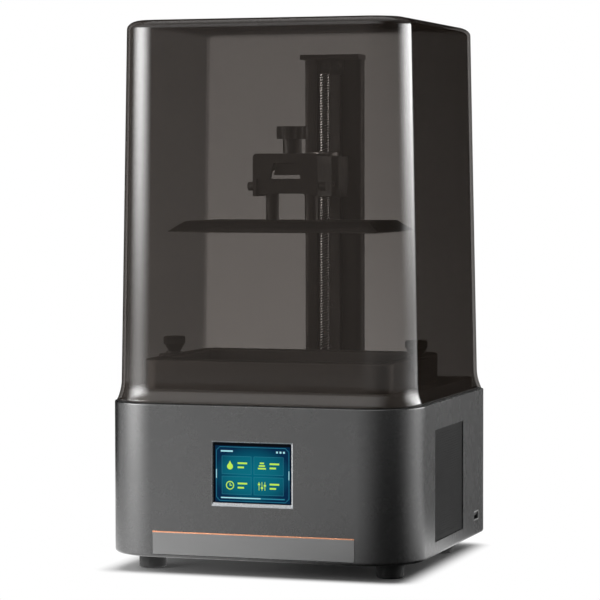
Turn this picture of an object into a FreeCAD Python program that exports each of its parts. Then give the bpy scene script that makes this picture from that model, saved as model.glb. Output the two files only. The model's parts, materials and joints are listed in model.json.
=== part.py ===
import FreeCAD, Part
import math
import os
import re
import Sketcher
from FreeCAD import Placement, Rotation, Vector

# Desktop resin printer, in millimetres: +Z up, front towards -Y, origin on the floor under its middle.
sizes = {
    # clearances
    "fit_gap": 0.2,
    "run_gap": 0.05,
    "slide_gap": 0.3,
    # screw sockets, as shares of the shank's width and the head's height
    "socket_width_share": 0.7,
    "socket_depth_share": 0.45,
    # build plate and the clamp head that carries it
    "plate_width": 161,
    "plate_depth": 95,
    "plate_height": 8.3,
    "plate_edge": 1.1,
    "plate_slope": 10,
    "plate_lift": 114.2,
    "post_diameter": 9.7,
    "post_length": 20,
    "post_spacing": 30.4,
    "crossbar_width": 44,
    "crossbar_depth": 29,
    "crossbar_height": 11,
    "head_wall": 3,
    "head_depth": 35,
    "head_offset": 1.3,
    "head_roof": 7,
    "head_skirt": 1.9,
    "head_corner_radius": 3,
    "head_face": 4,
    "hollow_height": 6,
    "channel_height": 11.7,
    "channel_base": 24,
    "channel_top": 18,
    "side_bolt_diameter": 6.6,
    "side_bolt_head": 5.2,
    "side_bolt_shank": 4,
    "side_bolt_depth": 11,
    "side_bolt_forward": 12,
    # clamp knob and pad
    "knob_diameter": 23.6,
    "knob_height": 9.4,
    "knob_scallop": 7,
    "knob_scallop_offset": 2.3,
    "knob_lobes": 8,
    "neck_diameter": 14,
    "neck_height": 10.5,
    "knob_shank": 6,
    "pad_diameter": 12,
    "pad_height": 2,
    "pad_travel": 3,
    # carriage on the column
    "arm_height": 8.7,
    "arm_overhang": 10.8,
    "carriage_width": 30,
    "carriage_front": 11.4,
    "carriage_above_arm": 5.6,
    "carriage_below_arm": 17,
    "carriage_chamfer": 3,
    "carriage_bolt_head": 4.5,
    "carriage_bolt_head_height": 2.5,
    "carriage_bolt_shank": 2.5,
    "carriage_bolt_length": 6,
    "carriage_bolt_spacing": 6.7,
    "carriage_bolt_drop": 7,
    "rail_block_gap": 0.5,
    "rail_block_front": 6,
    "rail_block_inset": 1.5,
    "nut_flange": 22,
    "nut_flange_height": 3,
    "nut_body": 10.2,
    "nut_length": 18,
    "flag_thickness": 1.5,
    "flag_depth": 8,
    "flag_height": 28,
    "flag_reach": 4.5,
    # lead screw, motor, column and rail
    "screw_diameter": 8,
    "screw_top_drop": 11.1,
    "screw_gap": 6.5,
    "motor_side": 42.3,
    "motor_height": 42,
    "motor_bolt_spacing": 31,
    "motor_floor": 4,
    "motor_screw_shank": 3,
    "motor_screw_head": 5.6,
    "motor_screw_length": 9,
    "column_gap": 20.6,
    "column_width": 46,
    "column_depth": 11,
    "column_height": 245.5,
    "column_channel_width": 25,
    "column_channel_depth": 5,
    "column_edge_radius": 4,
    "column_screw_spacing": 34,
    "column_screw_shank": 3,
    "column_screw_head": 6,
    "column_screw_length": 12,
    "cap_height": 3.8,
    "cap_overhang": 8,
    "cap_margin": 0.8,
    "cap_tab_width": 18,
    "cap_tab_height": 10.5,
    "cap_tab_thickness": 2,
    "cap_screw_spacing": 10.5,
    "cap_screw_drop": 4.5,
    "cap_screw_shank": 3,
    "cap_screw_head": 5.5,
    "cap_screw_head_height": 1.5,
    "cap_screw_length": 7,
    "rail_width": 12,
    "rail_bottom_gap": 7,
    "rail_top_gap": 1.5,
    "rail_screws": 7,
    "rail_screw_shank": 3,
    "rail_screw_head": 5.5,
    "rail_screw_head_height": 3,
    "rail_screw_sink": 3.6,
    "rail_screw_depth": 5,
    "sensor_width": 10,
    "sensor_depth": 12,
    "sensor_height": 14,
    "sensor_lift": 6,
    "sensor_slot": 4,
    "sensor_slot_depth": 8,
    # vat, film and thumb screws
    "plate_side_margin": 4,
    "plate_front_margin": 5.9,
    "plate_rear_margin": 13.1,
    "vat_rim_side": 10.5,
    "vat_rim_end": 13,
    "vat_height": 21.7,
    "vat_corner_radius": 12,
    "vat_cavity_radius": 7,
    "vat_edge_radius": 1.5,
    "ear_length": 28,
    "ear_reach": 9,
    "ear_height": 8.5,
    "film_thickness": 0.2,
    "frame_height": 2,
    "frame_border": 5,
    "thumb_diameter": 16.4,
    "thumb_foot_diameter": 11.5,
    "thumb_foot_height": 5.6,
    "thumb_grip_height": 6,
    "thumb_shank": 5,
    "thumb_tip_gap": 3.4,
    "washer_diameter": 13,
    "washer_height": 1.2,
    # base and deck
    "vat_side_room": 6.15,
    "vat_front_gap": 25.9,
    "column_rear_room": 1.4,
    "base_height": 111.2,
    "base_wall": 3,
    "base_ledge": 3,
    "base_lip": 24,
    "floor_thickness": 3,
    "floor_lip": 10,
    "front_corner_radius": 39,
    "rear_corner_radius": 12.5,
    "least_corner_radius": 2,
    "base_bottom_radius": 2.2,
    "base_top_radius": 0.8,
    "floor_flange": 2,
    "foot_diameter": 20,
    "foot_height": 13,
    "foot_inset_side": 26.35,
    "foot_inset_end": 39.7,
    "foot_screw_shank": 4,
    "foot_screw_head": 8,
    "foot_screw_head_height": 3,
    "foot_sink": 5,
    "foot_screw_length": 15,
    "deck_inset": 9,
    "deck_rise": 8.8,
    "deck_wall": 3,
    "deck_plate": 3,
    "deck_edge_radius": 1,
    "deck_boss": 12,
    "deck_screw_inset": 22.5,
    "deck_screw_shank": 4,
    "deck_screw_head": 7,
    "deck_screw_head_height": 2,
    "deck_screw_length": 12,
    # cover and its seal
    "seal_thickness": 0.6,
    "seal_width": 3,
    "cover_wall": 2.5,
    "cover_bottom_inset": 1.6,
    "cover_flare": 3.5,
    "cover_flare_height": 15,
    "cover_taper": 5,
    "cover_top_radius": 6,
    "cover_least_radius": 8.5,
    "cover_head_room": 17.3,
    # light engine
    "lcd_margin": 2,
    "lcd_panel_height": 1.2,
    "hood_wall": 4,
    "hood_margin": 2,
    "lens_height": 8,
    "lens_wall": 3,
    "board_thickness": 1.6,
    "heat_sink_height": 30,
    "heat_sink_base": 6,
    "fin_thickness": 3,
    "fin_count": 11,
    # front screen
    "screen_width": 61.5,
    "screen_height": 46.8,
    "screen_bottom": 39,
    "bezel_depth": 1.5,
    "bezel_side": 1.75,
    "bezel_top": 1.8,
    "bezel_bottom": 2.3,
    "bezel_bevel": 1.2,
    "display_thickness": 3.5,
    "display_board_margin": 6.5,
    "display_boss": 5,
    # front strip, side panel and sockets
    "strip_width": 152.8,
    "strip_height": 15.8,
    "strip_bottom": 2.4,
    "strip_thickness": 1.2,
    "accent_height": 1.1,
    "vent_width": 79.6,
    "vent_height": 81.3,
    "vent_bottom": 10.2,
    "vent_center": -3.5,
    "vent_rebate": 2.2,
    "vent_thickness": 1.4,
    "vent_border": 4,
    "usb_width": 14.5,
    "usb_height": 7.3,
    "usb_length": 17.8,
    "usb_wall": 1,
    "usb_cavity": 12,
    "usb_tongue": 1.8,
    "usb_from_rear": 32.2,
    "main_board_width": 140,
    "main_board_depth": 68,
    "main_board_side_gap": 5,
    "main_board_rear_gap": 8,
    "standoff_diameter": 6,
    "standoff_height": 5,
    "standoff_inset": 6,
    # rear inlet and fan
    "inlet_width": 62,
    "inlet_room": 0.5,
    "inlet_depth": 8,
    "inlet_wall": 2,
    "inlet_bottom": 23,
    "inlet_side_gap": 51,
    "inlet_spacing": 28,
    "jack_diameter": 12,
    "jack_barrel": 9,
    "jack_hole": 5.6,
    "jack_pin": 2,
    "jack_flange": 1.5,
    "jack_length": 12,
    "switch_width": 14,
    "switch_height": 22,
    "switch_flange": 1.5,
    "switch_flange_margin": 1.5,
    "switch_depth": 14,
    "switch_wall": 1.2,
    "rocker_end_gap": 1.3,
    "rocker_thickness": 8,
    "rocker_pin": 2.5,
    "rocker_tilt": 8,
    "fan_side": 40,
    "fan_depth": 10,
    "fan_rim": 1.5,
    "fan_hub": 15,
    "fan_back": 2,
    "fan_pin": 3,
    "fan_blades": 7,
    "fan_blade_thickness": 1.2,
    "fan_blade_pitch": 35,
    "fan_blade_chord": 6,
    "fan_side_gap": 55,
    "fan_height": 55,
    "grille_side": 46,
    "grille_thickness": 2.4,
    "grille_slots": 7,
    "grille_slot_height": 3,
    "grille_border": 4,
}

doc = FreeCAD.newDocument("resin_printer")
sheet = doc.addObject("Spreadsheet::Sheet", "Sizes")
for row, (name, number) in enumerate(sizes.items(), start=1):
    sheet.set(f"A{row}", str(number))
    sheet.setAlias(f"A{row}", name)
doc.recompute()

# Places that several pieces share, each worked out from the sizes above.
cover_lean = "(cover_bottom_inset + cover_flare + cover_wall)"
rear_gap = f"({cover_lean} + cover_taper + column_rear_room)"
vat_side_gap = f"({cover_lean} + ear_reach + vat_side_room)"
vat_width = "(plate_width + 2 * plate_side_margin + 2 * vat_rim_side)"
vat_depth = "(plate_depth + plate_front_margin + plate_rear_margin + 2 * vat_rim_end)"
base_width = f"({vat_width} + 2 * {vat_side_gap})"
base_depth = f"(vat_front_gap + {vat_depth} + screw_gap + column_gap + column_depth + {rear_gap})"
lcd_width = "(plate_width + 2 * lcd_margin)"
lcd_depth = "(plate_depth + 2 * lcd_margin)"
right_x = f"({base_width} / 2)"
rear_y = f"({base_depth} / 2)"
vat_y = f"(vat_front_gap + {vat_depth} / 2 - {rear_y})"
plate_y = f"(vat_front_gap + vat_rim_end + plate_front_margin + plate_depth / 2 - {rear_y})"
head_y = f"({plate_y} + head_offset)"
head_width = "(crossbar_width + 2 * fit_gap + 2 * head_wall)"
column_y = f"({rear_y} - {rear_gap} - column_depth)"
channel_y = f"({column_y} + column_channel_depth)"
screw_y = f"({column_y} - column_gap)"
floor_top = "(foot_height + floor_thickness + floor_flange)"
base_top = "(foot_height + base_height)"
deck_top = f"({base_top} + deck_rise)"
deck_under = f"({deck_top} - deck_plate)"
column_top = f"({deck_top} + column_height)"
vat_top = f"({deck_top} + vat_height)"
film_z = f"({deck_top} + frame_height)"
cover_bottom = f"({base_top} + seal_thickness)"
cover_ceiling = f"({column_top} + cap_height + cover_head_room)"
plate_z = f"({deck_top} + plate_lift)"
post_z = f"({plate_z} + plate_height)"
crossbar_z = f"({post_z} + post_length)"
channel_z = f"({crossbar_z} + crossbar_height)"
roof_z = f"({channel_z} + channel_height)"
head_top = f"({roof_z} + head_roof)"
arm_top = f"({roof_z} - slide_gap)"
arm_z = f"({arm_top} - arm_height)"
carriage_top = f"({arm_top} + carriage_above_arm)"
carriage_z = f"({arm_z} - carriage_below_arm)"
carriage_y = f"({screw_y} - carriage_front)"
rail_block_y = f"({column_y} - rail_block_front)"
heat_sink_top = f"({floor_top} + heat_sink_height)"
light_board_top = f"({heat_sink_top} + board_thickness)"
board_z = f"({floor_top} + standoff_height)"
board_top = f"({board_z} + board_thickness)"
thumb_x = f"({vat_width} / 2)"
switch_flange_height = "(switch_height + 2 * switch_flange_margin)"
inlet_height = f"({switch_flange_height} + 2 * inlet_room + 2 * inlet_wall)"
inlet_z = f"(foot_height + inlet_bottom + {inlet_height} / 2)"
inlet_floor_y = f"({rear_y} - inlet_depth)"
inlet_x = f"({right_x} - inlet_side_gap)"
fan_x = f"(fan_side_gap - {right_x})"
fan_z = "(foot_height + fan_height)"
fan_front_y = f"({rear_y} - base_wall)"
screen_z = "(foot_height + screen_bottom + screen_height / 2)"
strip_z = "(foot_height + strip_bottom)"
vent_z = "(foot_height + vent_bottom + vent_height / 2)"

turn_to_y = Rotation(Vector(1, 0, 0), -90)
turn_to_x = Rotation(Vector(0, 1, 0), 90)
nodes = []


def sized(text):
    # Turns the size names in an expression into references to the sheet.
    return re.sub(r"[a-z_]+", lambda word: prefix(word.group(0)), str(text))


def prefix(word):
    return f"Sizes.{word}" if word in sizes else word


def value(text):
    return float(sheet.evalExpression(sized(text)))


def bind(thing, prop, text):
    thing.setExpression(prop, sized(text))


def place(thing, x, y, z):
    for axis, text in zip("xyz", (x, y, z)):
        bind(thing, f"Placement.Base.{axis}", text)


def node(thing, label):
    # Keeps a finished piece under the name of its file.
    thing.Label = label
    nodes.append(thing)


# Part primitives, placed by their middle in plan and by their lowest height
def block(x, y, z, width, depth, height):
    made = doc.addObject("Part::Box", "Block")
    bind(made, "Length", width)
    bind(made, "Width", depth)
    bind(made, "Height", height)
    place(made, f"{x} - ({width}) / 2", f"{y} - ({depth}) / 2", z)
    return made


def rod(x, y, z, diameter, length, turn=None):
    made = doc.addObject("Part::Cylinder", "Rod")
    made.Placement = Placement(Vector(), turn or Rotation())
    bind(made, "Radius", f"({diameter}) / 2")
    bind(made, "Height", length)
    place(made, x, y, z)
    return made


def taper(x, y, z, foot, top, height):
    made = doc.addObject("Part::Cone", "Taper")
    bind(made, "Radius1", f"({foot}) / 2")
    bind(made, "Radius2", f"({top}) / 2")
    bind(made, "Height", height)
    place(made, x, y, z)
    return made


def fused(*shapes):
    made = doc.addObject("Part::MultiFuse", "Fused")
    made.Shapes = list(shapes)
    return made


def cut(base, *tools):
    made = doc.addObject("Part::Cut", "Cut")
    made.Base = base
    made.Tool = tools[0] if len(tools) == 1 else fused(*tools)
    return made


def group(shapes):
    made = doc.addObject("Part::Compound", "Group")
    made.Links = list(shapes)
    return made


def screw(x, y, seat, head, head_height, shank, length, up=1):
    # A socket screw along Z whose head stands on its seat, with the shank on the other side.
    head_z = seat if up > 0 else f"{seat} - {head_height}"
    shank_z = f"{seat} - {length}" if up > 0 else seat
    solid = fused(rod(x, y, head_z, head, head_height), rod(x, y, shank_z, shank, length))
    socket_depth = f"{head_height} * socket_depth_share"
    socket_z = f"{seat} + {head_height} - {socket_depth}" if up > 0 else head_z
    return cut(solid, rod(x, y, socket_z, f"{shank} * socket_width_share", socket_depth))


def front_screw(x, seat, z, head, head_height, shank, length):
    # A socket screw along Y whose head stands in front of its seat.
    head_front = f"{seat} - {head_height}"
    solid = fused(
        rod(x, head_front, z, head, head_height, turn_to_y),
        rod(x, seat, z, shank, length, turn_to_y),
    )
    socket_depth = f"{head_height} * socket_depth_share"
    return cut(solid, rod(x, head_front, z, f"{shank} * socket_width_share", socket_depth, turn_to_y))


# Sketches and features of a body
def body(label):
    return doc.addObject("PartDesign::Body", label)


def sketch(owner, role, x, y, z):
    made = owner.newObject("Sketcher::SketchObject", "Sketch")
    plane = next(o for o in owner.Origin.OriginFeatures if o.Role == role)
    made.AttachmentSupport = [(plane, "")]
    made.MapMode = "FlatFace"
    for axis, text in zip("xyz", (x, y, z)):
        bind(made, f"AttachmentOffset.Base.{axis}", text)
    return made


def constrain(made, kind, *terms, to=None):
    if to is None:
        made.addConstraint(Sketcher.Constraint(kind, *terms))
        return
    number = made.addConstraint(Sketcher.Constraint(kind, *terms, value(to)))
    bind(made, f"Constraints[{number}]", to)


def line(start, end):
    return Part.LineSegment(Vector(*start, 0), Vector(*end, 0))


def polygon(made, points):
    # Straight sides through corners, each corner held to its own two sizes from the sketch's origin.
    spots = [(value(x), value(y)) for x, y in points]
    sides = [made.addGeometry(line(a, b)) for a, b in zip(spots, spots[1:] + spots[:1])]
    for side, following in zip(sides, sides[1:] + sides[:1]):
        constrain(made, "Coincident", side, 2, following, 1)
    for side, (x, y) in zip(sides, points):
        constrain(made, "DistanceX", -1, 1, side, 1, to=x)
        constrain(made, "DistanceY", -1, 1, side, 1, to=y)


def rectangle(made, width, height):
    half_w, half_h = value(width) / 2, value(height) / 2
    corners = [(-half_w, -half_h), (half_w, -half_h), (half_w, half_h), (-half_w, half_h)]
    sides = [made.addGeometry(line(a, b)) for a, b in zip(corners, corners[1:] + corners[:1])]
    for side, following in zip(sides, sides[1:] + sides[:1]):
        constrain(made, "Coincident", side, 2, following, 1)
    for number, side in enumerate(sides):
        constrain(made, "Vertical" if number % 2 else "Horizontal", side)
    constrain(made, "Symmetric", sides[0], 1, sides[2], 1, -1, 1)
    constrain(made, "DistanceX", sides[0], 1, sides[0], 2, to=width)
    constrain(made, "DistanceY", sides[1], 1, sides[1], 2, to=height)


def circle(made, diameter, x="0", y="0"):
    spot = Vector(value(x), value(y), 0)
    ring = made.addGeometry(Part.Circle(spot, Vector(0, 0, 1), value(diameter) / 2))
    constrain(made, "Diameter", ring, to=diameter)
    constrain(made, "DistanceX", -1, 1, ring, 3, to=x)
    constrain(made, "DistanceY", -1, 1, ring, 3, to=y)


def outline(made, inset, least="least_corner_radius"):
    # The base's plan drawn in by an inset: two large front corners and two smaller rear ones.
    width, depth = f"{base_width} - 2 * ({inset})", f"{base_depth} - 2 * ({inset})"
    front = f"max(front_corner_radius - ({inset}); {least})"
    rear = f"max(rear_corner_radius - ({inset}); {least})"
    half_w, half_d = value(width) / 2, value(depth) / 2
    radii = [value(front), value(rear), value(rear), value(front)]
    signs = [(1, -1), (1, 1), (-1, 1), (-1, -1)]
    middles = [(sx * (half_w - r), sy * (half_d - r)) for (sx, sy), r in zip(signs, radii)]
    starts = [-90, 0, 90, 180]
    arcs, ends = [], []
    for (x, y), r, start in zip(middles, radii, starts):
        ring = Part.Circle(Vector(x, y, 0), Vector(0, 0, 1), r)
        arc = Part.ArcOfCircle(ring, math.radians(start), math.radians(start + 90))
        arcs.append(made.addGeometry(arc))
        ends.append((arc.StartPoint, arc.EndPoint))
    sides = []
    for number in range(4):
        side = Part.LineSegment(ends[number - 1][1], ends[number][0])
        sides.append(made.addGeometry(side))
    for number in range(4):
        constrain(made, "Tangent", sides[number], 2, arcs[number], 1)
        constrain(made, "Tangent", arcs[number - 1], 2, sides[number], 1)
    constrain(made, "Vertical", sides[1])
    constrain(made, "Horizontal", sides[2])
    constrain(made, "Vertical", sides[3])
    constrain(made, "Equal", arcs[0], arcs[3])
    constrain(made, "Equal", arcs[1], arcs[2])
    constrain(made, "Symmetric", sides[0], 1, sides[0], 2, -2)
    constrain(made, "Radius", arcs[0], to=front)
    constrain(made, "Radius", arcs[1], to=rear)
    constrain(made, "DistanceX", sides[3], 1, sides[1], 1, to=width)
    constrain(made, "DistanceY", sides[0], 1, -1, 1, to=f"({depth}) / 2")
    constrain(made, "DistanceY", -1, 1, sides[2], 1, to=f"({depth}) / 2")


def feature(owner, kind, profile, length, reverse=False):
    made = owner.newObject(f"PartDesign::{kind}", kind)
    made.Profile = profile
    bind(made, "Length", length)
    made.Reversed = reverse
    doc.recompute()
    return made


def pad(owner, profile, length, reverse=False):
    before = owner.Shape.Volume if owner.Shape.Solids else 0
    made = feature(owner, "Pad", profile, length, reverse)
    if made.Shape.Volume <= before:
        raise RuntimeError(f"{owner.Label}: {made.Label} adds nothing")


def pocket(owner, profile, length, reverse=False):
    before = owner.Shape.Volume
    made = feature(owner, "Pocket", profile, length, reverse)
    if made.Shape.Volume >= before:
        raise RuntimeError(f"{owner.Label}: {made.Label} cuts nothing")


def loft(owner, kind, sections):
    made = owner.newObject(f"PartDesign::{kind}Loft", kind)
    made.Profile = sections[0]
    made.Sections = sections[1:]
    made.Ruled = True
    doc.recompute()


def dress(owner, kind, prop, size, chosen):
    # Rounds or bevels the edges of a body that lie where chosen says.
    tip = owner.Tip
    picked = [f"Edge{i + 1}" for i, edge in enumerate(tip.Shape.Edges) if chosen(edge.BoundBox)]
    made = owner.newObject(f"PartDesign::{kind}", kind)
    made.Base = (tip, picked)
    bind(made, prop, size)
    doc.recompute()


def round_edges(owner, size, chosen):
    dress(owner, "Fillet", "Radius", size, chosen)


def bevel_edges(owner, size, chosen):
    dress(owner, "Chamfer", "Size", size, chosen)


def at(number, target):
    return abs(number - value(target)) < 0.001


def level(target):
    # Edges that lie flat at one height
    return lambda box: at(box.ZMin, target) and at(box.ZMax, target)


def corners(x, y):
    return [(f"{sx}{x}", f"{sy}{y}") for sx in ("", "-") for sy in ("", "-")]


foot_spots = corners(f"({right_x} - foot_inset_side)", f"({rear_y} - foot_inset_end)")
deck_screw_spots = corners(f"({right_x} - deck_screw_inset)", f"({rear_y} - deck_screw_inset)")
motor_screw_spots = [
    (x, f"{screw_y} + {y}") for x, y in corners("motor_bolt_spacing / 2", "(motor_bolt_spacing / 2)")
]
column_screw_spots = [
    (f"{side}column_screw_spacing / 2", f"({channel_y} + {rear_y} - {rear_gap}) / 2") for side in ("", "-")
]
cap_screw_spots = [f"{side}cap_screw_spacing / 2" for side in ("", "-")]
rail_bottom = f"({deck_top} + rail_bottom_gap)"
rail_top = f"({column_top} - cap_tab_height - rail_top_gap)"
rail_pitch = f"(({rail_top} - {rail_bottom}) / rail_screws)"
rail_screw_heights = [f"{rail_bottom} + {rail_pitch} * {i + 0.5}" for i in range(int(sizes["rail_screws"]))]
main_board_x = f"({right_x} - main_board_side_gap - main_board_width / 2)"
main_board_y = f"({rear_y} - main_board_rear_gap - main_board_depth / 2)"
standoff_spots = [
    (f"{main_board_x} + {x}", f"{main_board_y} + {y}")
    for x, y in corners("(main_board_width / 2 - standoff_inset)", "(main_board_depth / 2 - standoff_inset)")
]
carriage_bolt_spots = [f"carriage_bolt_spacing * {i - 1.5}" for i in range(4)]
carriage_bolt_z = f"({arm_z} - carriage_bolt_drop)"
side_bolt_z = f"({crossbar_z} + crossbar_height / 2)"
side_bolt_y = f"({head_y} - side_bolt_forward)"
usb_y = f"({rear_y} - usb_from_rear)"
usb_z = f"({board_top} + usb_height / 2)"
jack_x = f"({inlet_x} - inlet_spacing / 2)"
switch_x = f"({inlet_x} + inlet_spacing / 2)"
fan_bore = "(fan_side - 2 * fan_rim)"


def window(owner, role, x, y, z, width, height, depth, reverse=False):
    profile = sketch(owner, role, x, y, z)
    rectangle(profile, width, height)
    pocket(owner, profile, depth, reverse)


def bosses(owner, spots, diameter, z, height):
    profile = sketch(owner, "XY_Plane", "0", "0", z)
    for x, y in spots:
        circle(profile, diameter, x, y)
    pad(owner, profile, height)


def holes(owner, spots, diameter, z, depth):
    # Round holes cut downwards from a height
    profile = sketch(owner, "XY_Plane", "0", "0", z)
    for x, y in spots:
        circle(profile, diameter, x, y)
    pocket(owner, profile, depth)


def base_housing():
    made = body("base_housing")
    plan = sketch(made, "XY_Plane", "0", "0", "foot_height")
    outline(plan, "0")
    pad(made, plan, "base_height")
    round_edges(made, "base_bottom_radius", level("foot_height"))
    round_edges(made, "base_top_radius", level(base_top))
    inside = sketch(made, "XY_Plane", "0", "0", f"{base_top} - base_ledge")
    outline(inside, "base_wall")
    pocket(made, inside, "base_height - base_ledge - floor_thickness")
    mouth = sketch(made, "XY_Plane", "0", "0", base_top)
    outline(mouth, "base_lip")
    pocket(made, mouth, "base_ledge")
    under = sketch(made, "XY_Plane", "0", "0", "foot_height")
    outline(under, "floor_lip")
    pocket(made, under, "floor_thickness", reverse=True)
    holes(made, deck_screw_spots, "deck_screw_shank + 2 * fit_gap", base_top, "base_ledge")
    # front: screen window, then the shallow recess for the strip and its accent line
    window(made, "XZ_Plane", "0", screen_z, rear_y, "screen_width", "screen_height", "base_wall")
    recess = "strip_height + accent_height + 2 * fit_gap"
    window(made, "XZ_Plane", "0", f"{strip_z} + (strip_height + accent_height) / 2", rear_y,
           "strip_width + 2 * fit_gap", recess, "strip_thickness")
    seats = sketch(made, "XZ_Plane", "0", screen_z, f"{rear_y} - base_wall")
    for x, z in corners("(screen_width / 2 + display_board_margin / 2)",
                        "(screen_height / 2 + display_board_margin / 2)"):
        circle(seats, "display_boss", x, z)
    pad(made, seats, "bezel_depth + display_thickness - base_wall", reverse=True)
    # right side: vent rebate with its opening, and the socket's hole
    window(made, "YZ_Plane", "vent_center", vent_z, right_x,
           "vent_width + 2 * fit_gap", "vent_height + 2 * fit_gap", "vent_rebate")
    window(made, "YZ_Plane", "vent_center", vent_z, right_x,
           "vent_width - 2 * vent_border", "vent_height - 2 * vent_border", "base_wall")
    window(made, "YZ_Plane", usb_y, usb_z, right_x,
           "usb_width + 2 * fit_gap", "usb_height + 2 * fit_gap", "base_wall")
    # rear: inlet tray and grille
    window(made, "XZ_Plane", inlet_x, inlet_z, f"-{rear_y}",
           "inlet_width + 2 * fit_gap", f"{inlet_height} + 2 * fit_gap", "base_wall", reverse=True)
    window(made, "XZ_Plane", fan_x, fan_z, f"-{rear_y}",
           "grille_side + 2 * fit_gap", "grille_side + 2 * fit_gap", "grille_thickness", reverse=True)
    window(made, "XZ_Plane", fan_x, fan_z, f"-{rear_y}",
           "grille_side - grille_border", "grille_side - grille_border", "base_wall", reverse=True)
    node(made, "base_housing")


def bottom_plate():
    made = body("bottom_plate")
    flange = sketch(made, "XY_Plane", "0", "0", "foot_height + floor_thickness")
    outline(flange, "base_wall + fit_gap")
    pad(made, flange, "floor_flange")
    plug = sketch(made, "XY_Plane", "0", "0", "foot_height")
    outline(plug, "floor_lip + fit_gap")
    pad(made, plug, "floor_thickness")
    bosses(made, standoff_spots, "standoff_diameter", floor_top, "standoff_height")
    holes(made, foot_spots, "foot_screw_shank + 2 * fit_gap", floor_top, "floor_thickness + floor_flange")
    node(made, "bottom_plate")


def feet():
    pads, screws = [], []
    for x, y in foot_spots:
        pads.append(cut(
            rod(x, y, "0", "foot_diameter", "foot_height"),
            rod(x, y, "0", "foot_screw_head + 2 * fit_gap", "foot_sink"),
            rod(x, y, "foot_sink", "foot_screw_shank + 2 * fit_gap", "foot_height - foot_sink"),
        ))
        screws.append(screw(x, y, "foot_sink", "foot_screw_head", "foot_screw_head_height",
                            "foot_screw_shank", "foot_screw_length", up=-1))
    node(group(pads), "rubber_feet")
    node(group(screws), "foot_screws")


def top_deck():
    made = body("top_deck")
    plan = sketch(made, "XY_Plane", "0", "0", base_top)
    outline(plan, "deck_inset")
    pad(made, plan, "deck_rise")
    round_edges(made, "deck_edge_radius", level(deck_top))
    hollow = sketch(made, "XY_Plane", "0", "0", base_top)
    outline(hollow, "deck_inset + deck_wall")
    pocket(made, hollow, "deck_rise - deck_plate", reverse=True)
    thumb_spots = [(thumb_x, vat_y), (f"-{thumb_x}", vat_y)]
    bosses(made, thumb_spots + deck_screw_spots, "deck_boss", base_top, "deck_rise - deck_plate")
    holes(made, thumb_spots, "thumb_shank + 2 * run_gap", deck_top, "deck_rise")
    holes(made, deck_screw_spots, "deck_screw_shank + 2 * fit_gap", deck_top, "deck_rise")
    holes(made, deck_screw_spots, "deck_screw_head + 2 * fit_gap", deck_top, "deck_screw_head_height")
    holes(made, motor_screw_spots, "motor_screw_shank + 2 * fit_gap", deck_top, "deck_plate")
    holes(made, motor_screw_spots, "motor_screw_head + 2 * fit_gap", deck_top, "deck_screw_head_height")
    holes(made, column_screw_spots, "column_screw_shank + 2 * fit_gap", deck_top, "deck_plate")
    holes(made, [("0", screw_y)], "screw_diameter + 2 * slide_gap", deck_top, "deck_plate")
    window(made, "XY_Plane", "0", plate_y, deck_top,
           f"{lcd_width} + 2 * fit_gap", f"{lcd_depth} + 2 * fit_gap", "deck_plate")
    node(made, "top_deck")
    seat = f"{deck_top} - deck_screw_head_height"
    node(group(screw(x, y, seat, "deck_screw_head", "deck_screw_head_height",
                     "deck_screw_shank", "deck_screw_length") for x, y in deck_screw_spots), "deck_screws")


def cover_and_seal():
    ring = body("cover_seal")
    plan = sketch(ring, "XY_Plane", "0", "0", base_top)
    outline(plan, "cover_bottom_inset + fit_gap")
    outline(plan, "cover_bottom_inset + fit_gap + seal_width")
    pad(ring, plan, "seal_thickness")
    node(ring, "cover_seal")

    made = body("cover_shell")
    # a flare along a parabola that ends upright, a straight taper, then a top edge along a quarter circle
    steps = 5
    shares = [i / steps for i in range(steps + 1)]
    flare_inset = "cover_bottom_inset + cover_flare"
    flare = [
        (f"{flare_inset} - cover_flare * {(1 - share) ** 2}",
         f"{cover_bottom} + cover_flare_height * {share}")
        for share in shares
    ]

    def sections(wall, top):
        radius = f"(cover_top_radius - {wall})"
        crown = [
            (f"{flare_inset} + cover_taper + {radius} * (1 - cos({90 * share}))",
             f"{top} - {radius} * (1 - sin({90 * share}))")
            for share in shares
        ]
        drawn = []
        for inset, z in flare + crown:
            plan = sketch(made, "XY_Plane", "0", "0", z)
            outline(plan, f"{inset} + {wall}", "cover_least_radius")
            drawn.append(plan)
        return drawn

    loft(made, "Additive", sections("0", f"({cover_ceiling} + cover_wall)"))
    loft(made, "Subtractive", sections("cover_wall", cover_ceiling))
    node(made, "cover_shell")


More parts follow.
